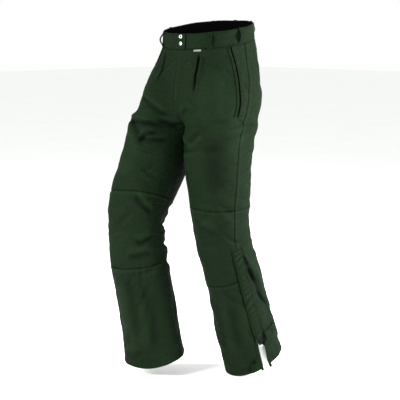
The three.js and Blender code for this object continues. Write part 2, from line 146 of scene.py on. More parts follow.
def section(sections, drop):
    """The section at each drop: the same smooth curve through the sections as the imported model's."""
    knots = sections[:, 0]
    last = len(sections) - 1
    i = np.clip(np.searchsorted(knots, drop, side="left") - 1, 0, last - 1)
    p, q = sections[i], sections[i + 1]
    before, after = sections[np.maximum(i - 1, 0)], sections[np.minimum(i + 2, last)]
    h = (q[..., 0] - p[..., 0])[..., None]
    t = (drop - p[..., 0])[..., None] / h
    slope_in = (q - before) / (q[..., :1] - before[..., :1])
    slope_out = (after - p) / (after[..., :1] - p[..., :1])
    return (
        p * (2 * t**3 - 3 * t**2 + 1)
        + slope_in * h * (t**3 - 2 * t**2 + t)
        + q * (3 * t**2 - 2 * t**3)
        + slope_out * h * (t**3 - t**2)
    )


def smooth(x, low, high):
    t = np.clip((x - low) / (high - low), 0, 1)
    return t * t * (3 - 2 * t)


def power(value, exponent):
    return np.sign(value) * np.abs(value) ** exponent


def on_section(at, angle, inset):
    drop, out, y, width, depth, pitch = (at[..., k] for k in range(6))
    forward = (depth - inset) * power(np.sin(angle), 2 / SQUARENESS)
    pitch = np.radians(pitch)
    x = out + (width - inset) * power(np.cos(angle), 2 / SQUARENESS)
    return np.stack([x, y + forward * np.cos(pitch), -drop + forward * np.sin(pitch)], -1)


def angle_at_x(at, x, inset):
    share = (x - at[..., 1]) / (at[..., 3] - inset)
    return np.arccos(np.clip(power(share, SQUARENESS / 2), -1, 1))


def form_at(side, drop, angle, inset=0.0):
    """Points of one half of the form, in millimetres; angle is in radians."""
    drop, angle, inset = np.broadcast_arrays(np.asarray(drop, float), angle, inset)
    own = on_section(section(HALF[side], drop), angle, inset)
    common = on_section(section(COMMON, drop), angle, inset)
    share = smooth(own[..., 0], 5, 85)
    share = (share + (1 - share) * smooth(drop, CROTCH, LEG_FREE))[..., None]
    points = common + (own - common) * share
    points[..., 0] *= SIGN[side]
    return points


def seam_angle(side, drop):
    return np.radians(section(HALF[side], np.asarray(drop, float))[..., 6])


def angle_of(side, drop, u, gap=0.0):
    """The angle at u: 0 is the side seam, and -1 and 1 are the front and back middle or inner leg."""
    drop, u = np.broadcast_arrays(np.asarray(drop, float), np.asarray(u, float))
    at = section(HALF[side], drop)
    edge = angle_at_x(at, gap, 0)
    seam = np.radians(at[..., 6])
    turn = np.where(edge >= math.pi - 1e-6, seam * smooth(drop, CROTCH, LEG_FREE), 0)
    return seam + (np.sign(u) * edge + turn - seam) * np.abs(u)


def radius(side, drop):
    at = section(HALF[side], np.asarray(drop, float))
    return (at[..., 3] + at[..., 4]) / 2


# ---- Folds and seams, as heights on the form -----------------------------------------


def to_path(across, drop, path):
    """Signed distance to a path, and the share of the way along it, all in millimetres."""
    best = np.full(drop.shape, 1e9)
    signed = np.full(drop.shape, 1e9)
    along = np.zeros(drop.shape)
    lengths = [math.dist(a, b) for a, b in zip(path, path[1:])]
    done = 0.0
    for (a, b), length in zip(zip(path, path[1:]), lengths):
        dx, dy = (b[0] - a[0]) / length, (b[1] - a[1]) / length
        px, py = across - a[0], drop - a[1]
        t = np.clip(px * dx + py * dy, 0, length)
        away = np.hypot(px - t * dx, py - t * dy)
        nearer = away < best
        best = np.where(nearer, away, best)
        signed = np.where(nearer, away * np.sign(px * dy - py * dx), signed)
        along = np.where(nearer, (done + t) / sum(lengths), along)
        done += length
    return signed, along


def bell(x):
    return np.exp(-np.minimum(x * x, 40))


def crease(path, width, depth, lip=0.0, ends=(0.25, 0.25)):
    """A dent along a path of (turn in degrees, drop), with a raised lip on its positive side."""
    drops = [p[1] for p in path]

    def height(side, across, drop):
        near = (drop > min(drops) - 5 * width) & (drop < max(drops) + 5 * width)
        total = np.zeros(drop.shape)
        if not near.any():
            return total
        scale = radius(side, np.array(drops, float))
        flat = [(math.radians(p[0]) * s, p[1]) for p, s in zip(path, scale)]
        s, t = to_path(across[near], drop[near], flat)
        fade = smooth(t, 0, ends[0]) * (1 - smooth(t, 1 - ends[1], 1))
        shape = -depth * bell(s / width) + lip * bell((s - 1.7 * width) / (1.3 * width))
        total[near] = shape * fade
        return total

    return height


def swell(path, width, height_mm):
    """A soft ridge along a path of (turn in degrees, drop)."""
    return crease(path, width, -height_mm, ends=(0.4, 0.4))


FOLDS = {
    "left": [
        # The pleat, and the cloth that falls from it.
        crease([(-64, 56), (-66, 85), (-70, 130), (-74, 195)], 3.3, 9.5, 2.6, (0.2, 0.35)),
        crease([(-58, 60), (-60, 110), (-66, 170)], 7, 2.2, 0, (0.3, 0.6)),
        swell([(-50, 90), (-52, 200), (-55, 330)], 34, 5),
        crease([(-47, 300), (-50, 390), (-48, 500)], 30, 2.5, 0),
        swell([(-15, 120), (-14, 260), (-18, 420)], 26, 3),
        # Cloth drawn from the crotch towards the hip.
        crease([(-118, 268), (-104, 250), (-88, 232)], 7, 3.4, 2),
        crease([(-150, 330), (-128, 345), (-100, 350)], 10, 3, 2),
        crease([(-155, 400), (-130, 430), (-105, 445)], 12, 2.4, 1.5),
        # The bend of the knee, front and back.
        crease([(-110, 560), (-80, 590), (-50, 600)], 10, 2.2, 1.6),
        crease([(40, 610), (70, 640), (110, 640), (150, 610)], 11, 5, 3),
        crease([(50, 665), (90, 700), (140, 690)], 11, 4.5, 3),
        crease([(35, 560), (80, 580), (130, 565)], 12, 3.4, 2),
        crease([(60, 730), (100, 760), (150, 745)], 13, 3, 2),
        # Sharp folds beside the zip cover.
        crease([(-7, 668), (-5, 694), (-1, 722)], 3.2, 6, 2, (0.35, 0.35)),
        crease([(-3, 712), (1, 742), (7, 776)], 3.4, 8, 2.5, (0.35, 0.35)),
        crease([(6, 790), (14, 830), (26, 862)], 3.6, 5, 2, (0.35, 0.35)),
        # Long folds of the shin, and the break above the hem.
        crease([(-8, 690), (4, 760), (14, 850)], 9, 4.5, 3),
        crease([(2, 720), (16, 800), (24, 900)], 9, 3, 2.4),
        crease([(-60, 800), (-66, 880), (-62, 960)], 18, 3, 2),
        crease([(-100, 780), (-96, 880), (-104, 980)], 16, 2.4, 2),
        crease([(-35, 985), (-45, 1010), (-58, 1035)], 9, 4, 2.6),
        crease([(20, 965), (44, 985), (80, 975)], 11, 3, 2),
        crease([(30, 870), (60, 905), (110, 895)], 14, 3, 2),
        crease([(-150, 820), (-125, 860), (-118, 930)], 16, 3, 2),
        # The seat.
        crease([(60, 60), (66, 130), (72, 190)], 26, 2.6, 0),
        crease([(100, 330), (70, 345), (35, 330)], 14, 4.5, 2.5),
        crease([(120, 385), (90, 405), (50, 400)], 14, 3, 2),
        swell([(55, 170), (60, 240), (70, 290)], 50, 5),
        crease([(14, 62), (22, 100), (26, 150)], 11, 2, 1.4),
        # Stitched lines.
        crease([(-86, 92), (-82, 84), (-77, 78)], 2.2, 1.5, 0.5, (0.02, 0.02)),
        crease([(-64, 62), (-56, 88), (-46, 105), (-34, 114), (-24, 122)], 2.2, 1.5, 0.5, (0.02, 0.02)),
        crease([(3, 68), (40, 84), (88, 92)], 2.2, 1.5, 0.5, (0.02, 0.02)),
        crease([(-17, 263), (-8, 276), (0, 287)], 2.2, 2.4, 0.5, (0.02, 0.02)),
    ],
    "right": [
        crease([(-64, 54), (-66, 80), (-70, 125), (-72, 172)], 3.3, 9, 2.6, (0.15, 0.4)),
        # Stitched line that meets the fly.
        crease([(-57, 62), (-70, 76), (-81, 88)], 2.2, 1.5, 0.5, (0.02, 0.02)),
        crease([(-56, 60), (-60, 110), (-64, 170)], 7, 2.2, 0, (0.3, 0.6)),
        # Cloth drawn across the lifted thigh.
        crease([(-120, 268), (-100, 262), (-72, 232), (-52, 205)], 11, 4.2, 5),
        crease([(-132, 300), (-104, 318), (-76, 322), (-48, 300)], 9, 5.6, 3.4),
        crease([(-128, 330), (-112, 352), (-100, 392)], 7, 5.2, 3),
        crease([(-150, 300), (-128, 296), (-108, 286)], 8, 6, 3.5),
        crease([(-60, 300), (-88, 345), (-120, 400)], 12, 4.6, 3.4),
        crease([(-150, 350), (-128, 365), (-108, 380)], 9, 4, 3),
        swell([(-80, 380), (-84, 440), (-84, 490)], 40, 4),
        crease([(-40, 330), (-46, 420), (-56, 480)], 20, 2.4, 0),
        # Behind and inside the bent knee.
        crease([(165, 560), (135, 590), (95, 600), (50, 585)], 9, 7, 4),
        crease([(-178, 620), (-150, 640), (-128, 640)], 8, 5, 3),
        crease([(170, 640), (130, 660), (85, 655), (45, 630)], 9, 7, 4),
        crease([(-175, 560), (-150, 545), (-120, 520)], 9, 4.4, 3),
        crease([(-172, 668), (-142, 676), (-112, 678)], 9, 4, 3),
        crease([(160, 705), (120, 725), (70, 705)], 11, 4, 3),
        crease([(150, 520), (110, 530), (60, 505)], 12, 4, 2.6),
        crease([(-84, 560), (-70, 585), (-40, 590)], 11, 1.8, 1.4),
        # Long folds of the shin.
        crease([(-60, 740), (-64, 830), (-60, 930)], 20, 3, 2.4),
        crease([(-105, 730), (-112, 820), (-108, 930)], 18, 3, 2.4),
        crease([(-140, 760), (-146, 860), (-138, 980)], 16, 3.4, 2.6),
        crease([(-30, 820), (-26, 900), (-34, 1000)], 18, 2.6, 2),
        crease([(-120, 960), (-95, 985), (-70, 975)], 11, 2.6, 2),
        crease([(30, 880), (60, 900), (100, 890)], 13, 3, 2),
        crease([(60, 60), (66, 130), (72, 190)], 26, 2.6, 0),
        crease([(110, 320), (80, 335), (40, 320)], 14, 5, 2.5),
        swell([(55, 170), (60, 240), (70, 290)], 50, 5),
        crease([(14, 62), (22, 100), (26, 150)], 11, 2, 1.4),
    ],
}


def ripples(side, across, drop):
    """Small unevenness that all cloth has: waves in seeded directions."""
    rng = np.random.default_rng(11 if side == "left" else 12)
    total = np.zeros(drop.shape)
    for wavelength, size in ((230, 1.5), (150, 1.1), (96, 0.7), (60, 0.42), (38, 0.26), (24, 0.14)):
        for _ in range(4):
            way = rng.uniform(0, math.pi)
            bend = rng.uniform(0, 2 * math.pi)
            k = 2 * math.pi / (wavelength * rng.uniform(0.8, 1.25))
            warp = 14 * np.sin(across / 71 + bend) + 14 * np.sin(drop / 83 - bend)
            run = across * math.cos(way) + (drop + warp) * math.sin(way)
            total += size * 0.5 * np.sin(k * run + bend)
    return total


# Small creases: count, drops, turns, slant from level in degrees, and half length.
CREASES = {
    "left": [
        (16, (60, 240), (-85, 160), 55, 34),
        (26, (230, 420), (-150, 20), -28, 42),
        (20, (240, 440), (20, 170), 22, 46),
        (26, (420, 560), (-170, 170), 10, 40),
        (34, (560, 740), (-170, 170), 4, 38),
        (34, (740, 1000), (-170, 170), 62, 46),
        (14, (965, 1030), (-170, 170), 12, 26),
    ],
    "right": [
        (16, (60, 240), (-85, 160), 50, 34),
        (30, (230, 420), (-150, 20), 24, 44),
        (20, (240, 440), (20, 170), 22, 46),
        (26, (420, 560), (-170, 170), 14, 40),
        (38, (540, 720), (-170, 170), 6, 38),
        (32, (720, 970), (-170, 170), 66, 46),
        (14, (940, 1003), (-170, 170), 12, 26),
    ],
}


def scatter(side):
    """The places, slants and sizes of the small creases, the same in every run."""
    rng = np.random.default_rng(31 if side == "left" else 32)
    found = []
    for count, drops, turns, slant, long in CREASES[side]:
        for _ in range(count):
            at_turn, at_drop = rng.uniform(*turns), rng.uniform(*drops)
            at = (math.radians(at_turn) * float(radius(side, at_drop)), at_drop)
            way = math.radians(slant + rng.normal(0, 20))
            size = rng.uniform(0.5, 1.3)
            wide = rng.uniform(5, 10) * size**0.5
            deep = rng.uniform(0.5, 1.9) * size
            found.append((*at, way, long * size, wide, deep))
    return found


SCATTERED = {side: scatter(side) for side in SIDES}


def crumple(side, across, drop):
    """The small creases, each a curved dent with a lip beside it."""
    total = np.zeros(drop.shape)
    for at_across, at_drop, way, long, wide, deep in SCATTERED[side]:
        dx = across - at_across
        dy = drop - at_drop
        near = dx * dx + dy * dy < (2.2 * long) ** 2
        dx, dy = dx[near], dy[near]
        u = (dx * math.cos(way) + dy * math.sin(way)) / long
        v = (dy * math.cos(way) - dx * math.sin(way)) / wide + 0.8 * u * u
        total[near] += deep * (0.8 * bell(v - 1.5) - bell(v)) * bell(1.3 * u)
    return total


def seam_height(distance, along, lap):
    """A sewn seam: a sharp line, a lap of double cloth on one side, and puckers across both."""
    line = -1.6 * bell(distance / 1.5)
    lapped = 0.55 * smooth(distance * lap, 0, 1.5) * (1 - smooth(distance * lap, 8, 11))
    puckers = 0.3 * np.sin(along / 2.9 + 1.7 * np.sin(along / 23)) * bell((distance - 4 * lap) / 9)
    return line + lapped + puckers


def above_knee(side, turn):
    """Drop of the seam over the knee: it runs nearly level round the leg."""
    tilt, lowest_at = {"left": (5, 0), "right": (10, -50)}[side]
    return ABOVE_KNEE[side] + tilt * np.cos(np.radians(turn - lowest_at))


def below_knee(side, turn):
    tilt, lowest_at = {"left": (10, -150), "right": (3, -60)}[side]
    return BELOW_KNEE[side] + tilt * np.cos(np.radians(turn - lowest_at))


def from_inner_edge(side, drop, turn):
    """Degrees from a turn to the middle of the trousers, or to the inner seam of a leg."""
    at = section(HALF[side], np.asarray(drop, float))
    edge = np.degrees(angle_at_x(at, 0.0, 0))
    shift = np.where(edge >= 179.9, at[..., 6] * smooth(drop, CROTCH, LEG_FREE), 0)
    return edge - np.abs(turn - shift)


def relief(side, drop, turn):
    """How far the cloth stands off the form, and the painted shade of its folds and seams."""
    drop, turn = np.broadcast_arrays(np.asarray(drop, float), np.asarray(turn, float))
    across = np.radians(turn) * radius(side, drop)
    below_band = smooth(drop, BAND_DEPTH, 100)
    folded = crumple(side, across, drop) * below_band
    for fold in FOLDS[side]:
        folded += fold(side, across, drop)
    by_inner_edge = smooth(from_inner_edge(side, drop, turn), 0, 9)
    total = (ripples(side, across, drop) * below_band + folded) * by_inner_edge
    seam = np.degrees(seam_angle(side, drop))
    from_side = np.radians(turn - seam) * radius(side, drop)
    zip_top, zip_bottom = LEG_ZIP[side]
    covered = smooth(drop, COVER_TOP[side] - 14, COVER_TOP[side] - 4)
    beside_zip = covered * (1 - smooth(np.abs(from_side), 13, 19))
    total *= 1 - beside_zip
    before = total.copy()
    total += seam_height(from_side, drop, 1) * (1 - beside_zip)
    past_zip = smooth(drop, zip_bottom + 4, zip_bottom + 12)
    over_zip = smooth(drop, zip_top - 5, zip_top) * (1 - past_zip)
    channel = -8.5 * over_zip * (1 - smooth(np.abs(from_side), 11.5, 14))
    total += seam_height(drop - above_knee(side, turn), across, 1)
    in_front = 1 - smooth(turn - seam, -3, 0)
    total += in_front * seam_height(drop - below_knee(side, turn), across, 1)
    total += -1.5 * bell((drop - BAND_DEPTH) / 2)
    # Painted shade in the colour: darker in creases and seam lines, slightly paler on their lips.
    shade = np.clip(0.14 * folded, -0.9, 0.25) + np.clip(0.55 * (total - before), -0.7, 0.25)
    # Painted shadow: a dark line beside each edge of the raised zip cover.
    shade -= 0.8 * covered * (drop < zip_bottom + 4) * bell((np.abs(from_side) - 18) / 2.2)
    return total + channel, shade


def height(side, drop, turn):
    return relief(side, drop, turn)[0]


# ---- Meshes --------------------------------------------------------------------------


def make_mesh(name, points, faces, material, uv=None, smooth_faces=True):
    """A mesh object from points in millimetres."""
    mesh = bpy.data.meshes.new(name)
    mesh.from_pydata((np.asarray(points) / 1000).tolist(), [], faces.tolist())
    mesh.polygons.foreach_set("use_smooth", [smooth_faces] * len(mesh.polygons))
    if uv is not None:
        layer = mesh.uv_layers.new(name="cloth")
        corners = np.empty(len(mesh.loops), np.int32)
        mesh.loops.foreach_get("vertex_index", corners)
        layer.data.foreach_set("uv", (np.asarray(uv)[corners] / 1000).ravel().astype(np.float32))
    mesh.update()
    made = bpy.data.objects.new(name, mesh)
    bpy.context.scene.collection.objects.link(made)
    made.data.materials.append(material)
    return made


def grid_faces(rows, columns, flip, first=0, closed=False):
    """Quads of a grid of rows by columns of points."""
    wide = columns if closed else columns - 1
    j, i = np.meshgrid(np.arange(rows - 1), np.arange(wide), indexing="ij")
    a = first + j * columns + i
    b = first + j * columns + (i + 1) % columns
    quads = np.stack([a, b, b + columns, a + columns], -1).reshape(-1, 4)
    return quads[:, ::-1] if flip else quads


def grid_object(name, points, material, flip, uv=None, shade=None):
    """A mesh from a grid of points. shade paints shade (below 0) or highlight into the cloth's colour.
    """
    rows, columns = points.shape[:2]
    flat_uv = None if uv is None else uv.reshape(-1, 2)
    made = make_mesh(name, points.reshape(-1, 3), grid_faces(rows, columns, flip), material, flat_uv)
    if shade is not None:
        layer = made.data.attributes.new("shade", "FLOAT", "POINT")
        layer.data.foreach_set("value", shade.ravel().astype(np.float32))
    return made


def two_faced(name, face, back, flip, material, uv=None):
    """A mesh of two grids of the same size, turned away from each other."""
    rows, columns = face.shape[:2]
    outer = grid_faces(rows, columns, flip)
    inner = grid_faces(rows, columns, not flip, first=rows * columns)
    points = np.concatenate([face.reshape(-1, 3), back.reshape(-1, 3)])
    return make_mesh(name, points, np.concatenate([outer, inner]), material, uv)


def slit_gap(side, drop):
    """Half the gap between front and back along the side seam: open below the leg zip."""
    bottom = LEG_ZIP[side][1]
    return SLIT * smooth(drop, bottom - 2, bottom + 12)


def cloth_panel(name, side, top, bottom, u_range, turned_hem=False):
    """Outer cloth between two drops, each a function of the turn, with all its folds and seams."""
    middle = float(np.mean([top(side, -60.0), bottom(side, -60.0)]))
    long = float(bottom(side, -60.0) - top(side, -60.0))
    columns = int(math.pi * float(radius(side, middle)) / GRID)
    rows = int(long / GRID)
    u = np.linspace(*u_range, columns)[None]
    t = np.linspace(0, 1, rows)[:, None] + 0 * u
    turn = np.degrees(angle_of(side, np.full((1, columns), middle), u)) + 0 * t
    for _ in range(3):
        drop = top(side, turn) * (1 - t) + bottom(side, turn) * t
        share = slit_gap(side, drop) / (math.pi * radius(side, drop))
        shift = np.sign(sum(u_range)) * (1 - np.abs(u)) * share
        turn = np.degrees(angle_of(side, drop, u + shift))
    high, shade = relief(side, drop, turn)
    points = form_at(side, drop, np.radians(turn), -high)
    if turned_hem:
        points = np.concatenate([points, hem_roll(side, drop[-1], turn[-1], high[-1])])
        more = len(points) - rows
        drop = np.concatenate([drop, drop[-1] + np.linspace(1, HEM_TURN, more)[:, None]])
        turn = np.concatenate([turn, np.repeat(turn[-1:], more, 0)])
        shade = np.concatenate([shade, np.repeat(shade[-1:], more, 0)])
    wide = radius(side, np.clip(drop, 0, HEM[side]))
    uv = np.stack([np.radians(turn) * wide, -drop], -1)
    piece = grid_object(name, points, GREEN, side == "left", uv, shade)
    return piece


def hem_roll(side, drop, turn, high):
    """Cloth turned up inside the hem: round the edge, then back up."""
    ways = [(1.2, -0.6), (1.7, 0.8), (1.2, 2.4), (0, 3.2), (-8, 3.4)]
    ways += [(-HEM_TURN, 3.6), (-HEM_TURN, 2.4)]
    rows = [form_at(side, drop + down, np.radians(turn), inward - high) for down, inward in ways]
    return np.stack(rows)


# ---- Materials -----------------------------------------------------------------------


class Nodes:
    """Short words for building a material's nodes."""

    def __init__(self, name):
        self.material = bpy.data.materials.new(name)
        self.material.use_nodes = True
        self.tree = self.material.node_tree
        self.shader = self.tree.nodes["Principled BSDF"]

    def add(self, kind, inputs=(), **settings):
        node = self.tree.nodes.new(kind)
        for key, value in settings.items():
            setattr(node, key, value)
        for key, value in dict(inputs).items():
            self.put(node.inputs[key], value)
        return node

    def put(self, socket, value):
        if isinstance(value, bpy.types.NodeSocket):
            self.tree.links.new(value, socket)
        else:
            socket.default_value = value

    def set(self, **values):
        for key, value in values.items():
            self.put(self.shader.inputs[key.replace("_", " ").title()], value)

    def math(self, operation, a, b=0.0):
        node = self.add("ShaderNodeMath", operation=operation)
        self.put(node.inputs[0], a)
        self.put(node.inputs[1], b)
        return node.outputs[0]

    def mix(self, factor, a, b):
        node = self.add("ShaderNodeMix", data_type="RGBA")
        self.put(node.inputs[0], factor)
        self.put(node.inputs[6], a)
        self.put(node.inputs[7], b)
        return node.outputs[2]

    def noise(self, where, scale, detail=3.0):
        inputs = {"Vector": where, "Scale": scale, "Detail": detail}
        return self.add("ShaderNodeTexNoise", inputs).outputs["Fac"]

    def stretched(self, where, **inputs):
        return self.add("ShaderNodeMapping", {"Vector": where, **inputs}).outputs[0]

    def bump(self, height_socket, distance, strength=1.0, before=None):
        inputs = {"Height": height_socket, "Distance": distance, "Strength": strength}
        node = self.add("ShaderNodeBump", inputs)
        if before is not None:
            self.put(node.inputs["Normal"], before)
        return node.outputs["Normal"]


def twill(name, dark, light, sheen):
    """Twill cloth: fine slanting ribs, uneven dye, and painted shade and highlight from the shade
    attribute.
    """
    n = Nodes(name)
    uv = n.add("ShaderNodeTexCoord").outputs["UV"]
    place = n.add("ShaderNodeTexCoord").outputs["Object"]
    turned = n.stretched(uv, Rotation=(0, 0, math.radians(28)))
    ribbing = {"Scale": 310.0, "Distortion": 0.6, "Detail": 2.0, "Detail Scale": 2.0}
    ribs = n.add("ShaderNodeTexWave", {"Vector": turned, **ribbing})
    yarn = n.noise(turned, 900.0, 2.0)
    cloudy = n.noise(place, 7.0, 4.0)
    mottled = n.noise(place, 60.0, 5.0)
    tone = n.math("ADD", n.math("MULTIPLY", cloudy, 0.55), n.math("MULTIPLY", mottled, 0.25))
    speckled = n.noise(place, 230.0, 3.0)
    tone = n.math("ADD", tone, n.math("MULTIPLY", yarn, 0.2))
    tone = n.math("ADD", tone, n.math("MULTIPLY", n.math("SUBTRACT", speckled, 0.5), 1.6))
    base = n.mix(tone, dark, light)
    rib_tone = n.math("MULTIPLY", ribs.outputs["Fac"], 0.3)
    base = n.mix(rib_tone, base, [c * 1.35 for c in light[:3]] + [1])
    # Painted shade and highlight: the shade attribute darkens creases and seams and pales raised places.
    shade = n.add("ShaderNodeAttribute", attribute_name="shade").outputs["Fac"]
    base = n.mix(n.math("MULTIPLY", shade, -1.0), base, [c * 0.12 for c in dark[:3]] + [1])
    n.set(base_color=n.mix(shade, base, [c * 1.8 for c in light[:3]] + [1]))
    n.set(roughness=n.math("ADD", n.math("MULTIPLY", mottled, 0.12), 0.68))
    weave = n.math("ADD", ribs.outputs["Fac"], n.math("MULTIPLY", yarn, 0.5))
    drawn = n.stretched(place, Rotation=(0.5, 0.9, 0.3), Scale=(14, 14, 46))
    crinkled = n.math("ABSOLUTE", n.math("SUBTRACT", n.noise(drawn, 1.6, 3.0), 0.5))
    worn = n.bump(crinkled, 0.008, 0.7, n.bump(mottled, 0.0012, 0.6))
    n.set(normal=n.bump(weave, 0.00022, 0.6, worn))
    n.shader.inputs["Sheen Weight"].default_value = sheen
    n.shader.inputs["Sheen Roughness"].default_value = 0.45
    n.shader.inputs["Specular IOR Level"].default_value = 0.03
    return n.material


def woven(name, dark, light, scale, rough=0.85, sheen=0.1, specular=0.08):
    """Plain cloth, tape or thread: crossed yarns."""
    n = Nodes(name)
    place = n.add("ShaderNodeTexCoord").outputs["Object"]
    yarns = {"Vector": place, "Scale": scale}
    warp = n.add("ShaderNodeTexWave", yarns, bands_direction="Z")
    weft = n.add("ShaderNodeTexWave", yarns, bands_direction="DIAGONAL")
    weave = n.math("MULTIPLY", warp.outputs["Fac"], weft.outputs["Fac"])
    uneven = n.noise(place, 40.0, 4.0)
    tone = n.math("ADD", n.math("MULTIPLY", weave, 0.4), n.math("MULTIPLY", uneven, 0.5))
    n.set(base_color=n.mix(tone, dark, light))
    n.set(roughness=n.math("ADD", n.math("MULTIPLY", uneven, 0.1), rough - 0.05))
    n.set(normal=n.bump(weave, 0.0002, 0.7))
    n.shader.inputs["Sheen Weight"].default_value = sheen
    n.shader.inputs["Specular IOR Level"].default_value = specular
    return n.material


def metal(name, colour, rough):
    """Plated metal, with fine scratches and dulled patches."""
    n = Nodes(name)
    place = n.add("ShaderNodeTexCoord").outputs["Object"]
    patches = n.noise(place, 300.0, 4.0)
    scratches = n.noise(n.stretched(place, Scale=(1, 1, 12)), 900.0, 2.0)
    dull = [c * 0.6 for c in colour[:3]] + [1]
    n.set(base_color=n.mix(n.math("MULTIPLY", patches, 0.5), colour, dull))
    n.set(roughness=n.math("ADD", n.math("MULTIPLY", patches, 0.2), rough))
    n.set(normal=n.bump(scratches, 0.00005, 0.5))
    n.shader.inputs["Metallic"].default_value = 1.0
    return n.material


GREEN = twill("green_twill", (0.0014, 0.0037, 0.0012, 1), (0.0034, 0.0081, 0.0031, 1), 0.0)
# Black lining cloth; the same near-black material also paints the shadow in the pocket mouths, the
# gaping right pocket and the hem-tab slots.
BLACK = woven(
    "black_lining_and_painted_gap_shadow",
    (0.0006, 0.0006, 0.0006, 1),
    (0.0016, 0.0016, 0.0017, 1),
    900.0,
    sheen=0.0,
    specular=0.0,
)
PALE = woven("pale_lining", (0.62, 0.64, 0.61, 1), (0.8, 0.82, 0.79, 1), 700.0)
WADDING = woven("pad_cover", (0.55, 0.53, 0.46, 1), (0.72, 0.7, 0.62, 1), 300.0)
THREAD = woven("green_thread", (0.005, 0.011, 0.005, 1), (0.012, 0.024, 0.011, 1), 2500.0, 0.6, 0.0)
TAPE = woven("zip_tape", (0.008, 0.014, 0.009, 1), (0.02, 0.032, 0.022, 1), 1400.0)
SILVER = metal("silver_plate", (0.5, 0.51, 0.51, 1), 0.24)
ENAMEL = metal("dark_enamel", (0.03, 0.032, 0.034, 1), 0.4)
LABEL = woven("blank_label", (0.09, 0.1, 0.09, 1), (0.16, 0.17, 0.16, 1), 1500.0, sheen=0.0)

# ---- Camera, light and floor ---------------------------------------------------------


def studio():
    target = Vector((-0.018, -0.018, -0.532))
    azimuth, elevation, distance = math.radians(45), math.radians(7.5), 4.3
    away = Vector(
        (
            math.cos(elevation) * math.sin(azimuth),
            -math.cos(elevation) * math.cos(azimuth),
            math.sin(elevation),
        )
    )
    camera = bpy.data.objects.new("camera", bpy.data.cameras.new("camera"))
    camera.location = target + distance * away
    camera.rotation_euler = away.to_track_quat("Z", "Y").to_euler()
    camera.data.lens, camera.data.sensor_width = 125, 36
    bpy.context.scene.collection.objects.link(camera)
    bpy.context.scene.camera = camera
    bpy.context.scene.view_settings.view_transform = "Standard"
    lamps = [
        ("key", (1.95, 1.2, 0.35), 0.7, 258),
        ("front", (-0.22, -2.31, 0.35), 1.0, 155),
        ("back", (-1.8, 2.4, 0.6), 1.6, 40),
    ]
    for name, place, size, watts in lamps:
        light = bpy.data.lights.new(name, "AREA")
        light.energy, light.size = watts, size
        lamp = bpy.data.objects.new(name, light)
        lamp.location = place
        lamp.rotation_euler = (Vector(place) - target).to_track_quat("Z", "Y").to_euler()
        bpy.context.scene.collection.objects.link(lamp)
    world = bpy.data.worlds.new("studio")
    world.use_nodes = True
    world.node_tree.nodes["Background"].inputs["Color"].default_value = (0.99, 1.0, 0.99, 1)
    world.node_tree.nodes["Background"].inputs["Strength"].default_value = 1.0
    bpy.context.scene.world = world
    paint = Nodes("floor_paint")
    grain = paint.noise(paint.add("ShaderNodeTexCoord").outputs["Object"], 3.0, 2.0)
    paint.set(base_color=paint.mix(grain, (0.9, 0.91, 0.9, 1), (0.94, 0.95, 0.94, 1)), roughness=0.9)
    floor_z = CAD_BOX[0][2] * 1000 - 12
    reach = 20000
    corners = [(x * reach, y * reach, floor_z) for x, y in ((-1, -1), (1, -1), (1, 1), (-1, 1))]
    floor = make_mesh("floor", corners, np.array([[0, 1, 2, 3]]), paint.material)


studio()

# ---- How pieces move -----------------------------------------------------------------


def bend_at_hip(piece):
    """The cloth turns from the seat to the thigh below a slanting line through the crotch; this only
    bakes the piece's place into its points, and bends nothing.
    """
    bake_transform(piece)


def bend_at_knee(piece):
    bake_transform(piece)


def on_shin(piece, side):
    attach(piece, f"shin_{side}")


# ---- Sewn-on cloth -------------------------------------------------------------------


def surface(side, across, drop, out=0.0, folds=1.0):
    """Points on the finished cloth; across runs from the wearer's side to the back."""
    across, drop = np.broadcast_arrays(np.asarray(across, float), np.asarray(drop, float))
    angle = across / radius(side, drop)
    return form_at(side, drop, angle, -(folds * height(side, drop, np.degrees(angle)) + out))


def front(x, drop, out=0.0):
    """Points on the finished cloth of the front, from a distance x from the middle."""
    x, drop, out = np.broadcast_arrays(np.asarray(x, float), np.asarray(drop, float), out)
    found = {}
    for side in SIDES:
        angle = -angle_at_x(section(HALF[side], drop), np.maximum(np.abs(x), 0.01), 0.0)
        high = height(side, drop, np.degrees(angle)) * (drop > BAND_DEPTH)
        found[side] = form_at(side, drop, angle, -(high + out))
    return np.where((x >= 0)[..., None], found["left"], found["right"])


def band_at(bearing, drop, out=0.0):
    """Points of the waistband; the bearing runs from the wearer's left side to the back and on."""
    left = form_at("left", drop, bearing, -out)
    right = form_at("right", drop, math.pi - bearing, -out)
    return np.where((np.cos(bearing) >= 0)[..., None], left, right)


def along(path):
    """A smooth line near the points of a path, and the distance run at each of its points."""
    path = np.asarray(path, float)
    knots = np.concatenate([[0], np.cumsum(np.hypot(*np.diff(path, axis=0).T))])
    fine = np.linspace(0, knots[-1], 400)
    line = np.stack([np.interp(fine, knots, path[:, k]) for k in (0, 1)], -1)
    for _ in range(60 if len(path) > 2 else 0):
        line[1:-1] = (line[:-2] + 2 * line[1:-1] + line[2:]) / 4
    run = np.concatenate([[0], np.cumsum(np.hypot(*np.diff(line, axis=0).T))])
    return line, run


def follow(side, path, folds=1.0):
    """where(a, b, out) for a strip along a path of (turn, drop): a along it, b across its middle."""
    flat = [(math.radians(turn) * float(radius(side, drop)), drop) for turn, drop in path]
    line, run = along(flat)
    way = np.gradient(line, run, axis=0)

    def where(a, b, out):
        at = [np.interp(a, run, line[:, k]) for k in (0, 1)]
        to = [np.interp(a, run, way[:, k]) for k in (0, 1)]
        return surface(side, at[0] + to[1] * b, at[1] - to[0] * b, out, folds)

    return where, float(run[-1])


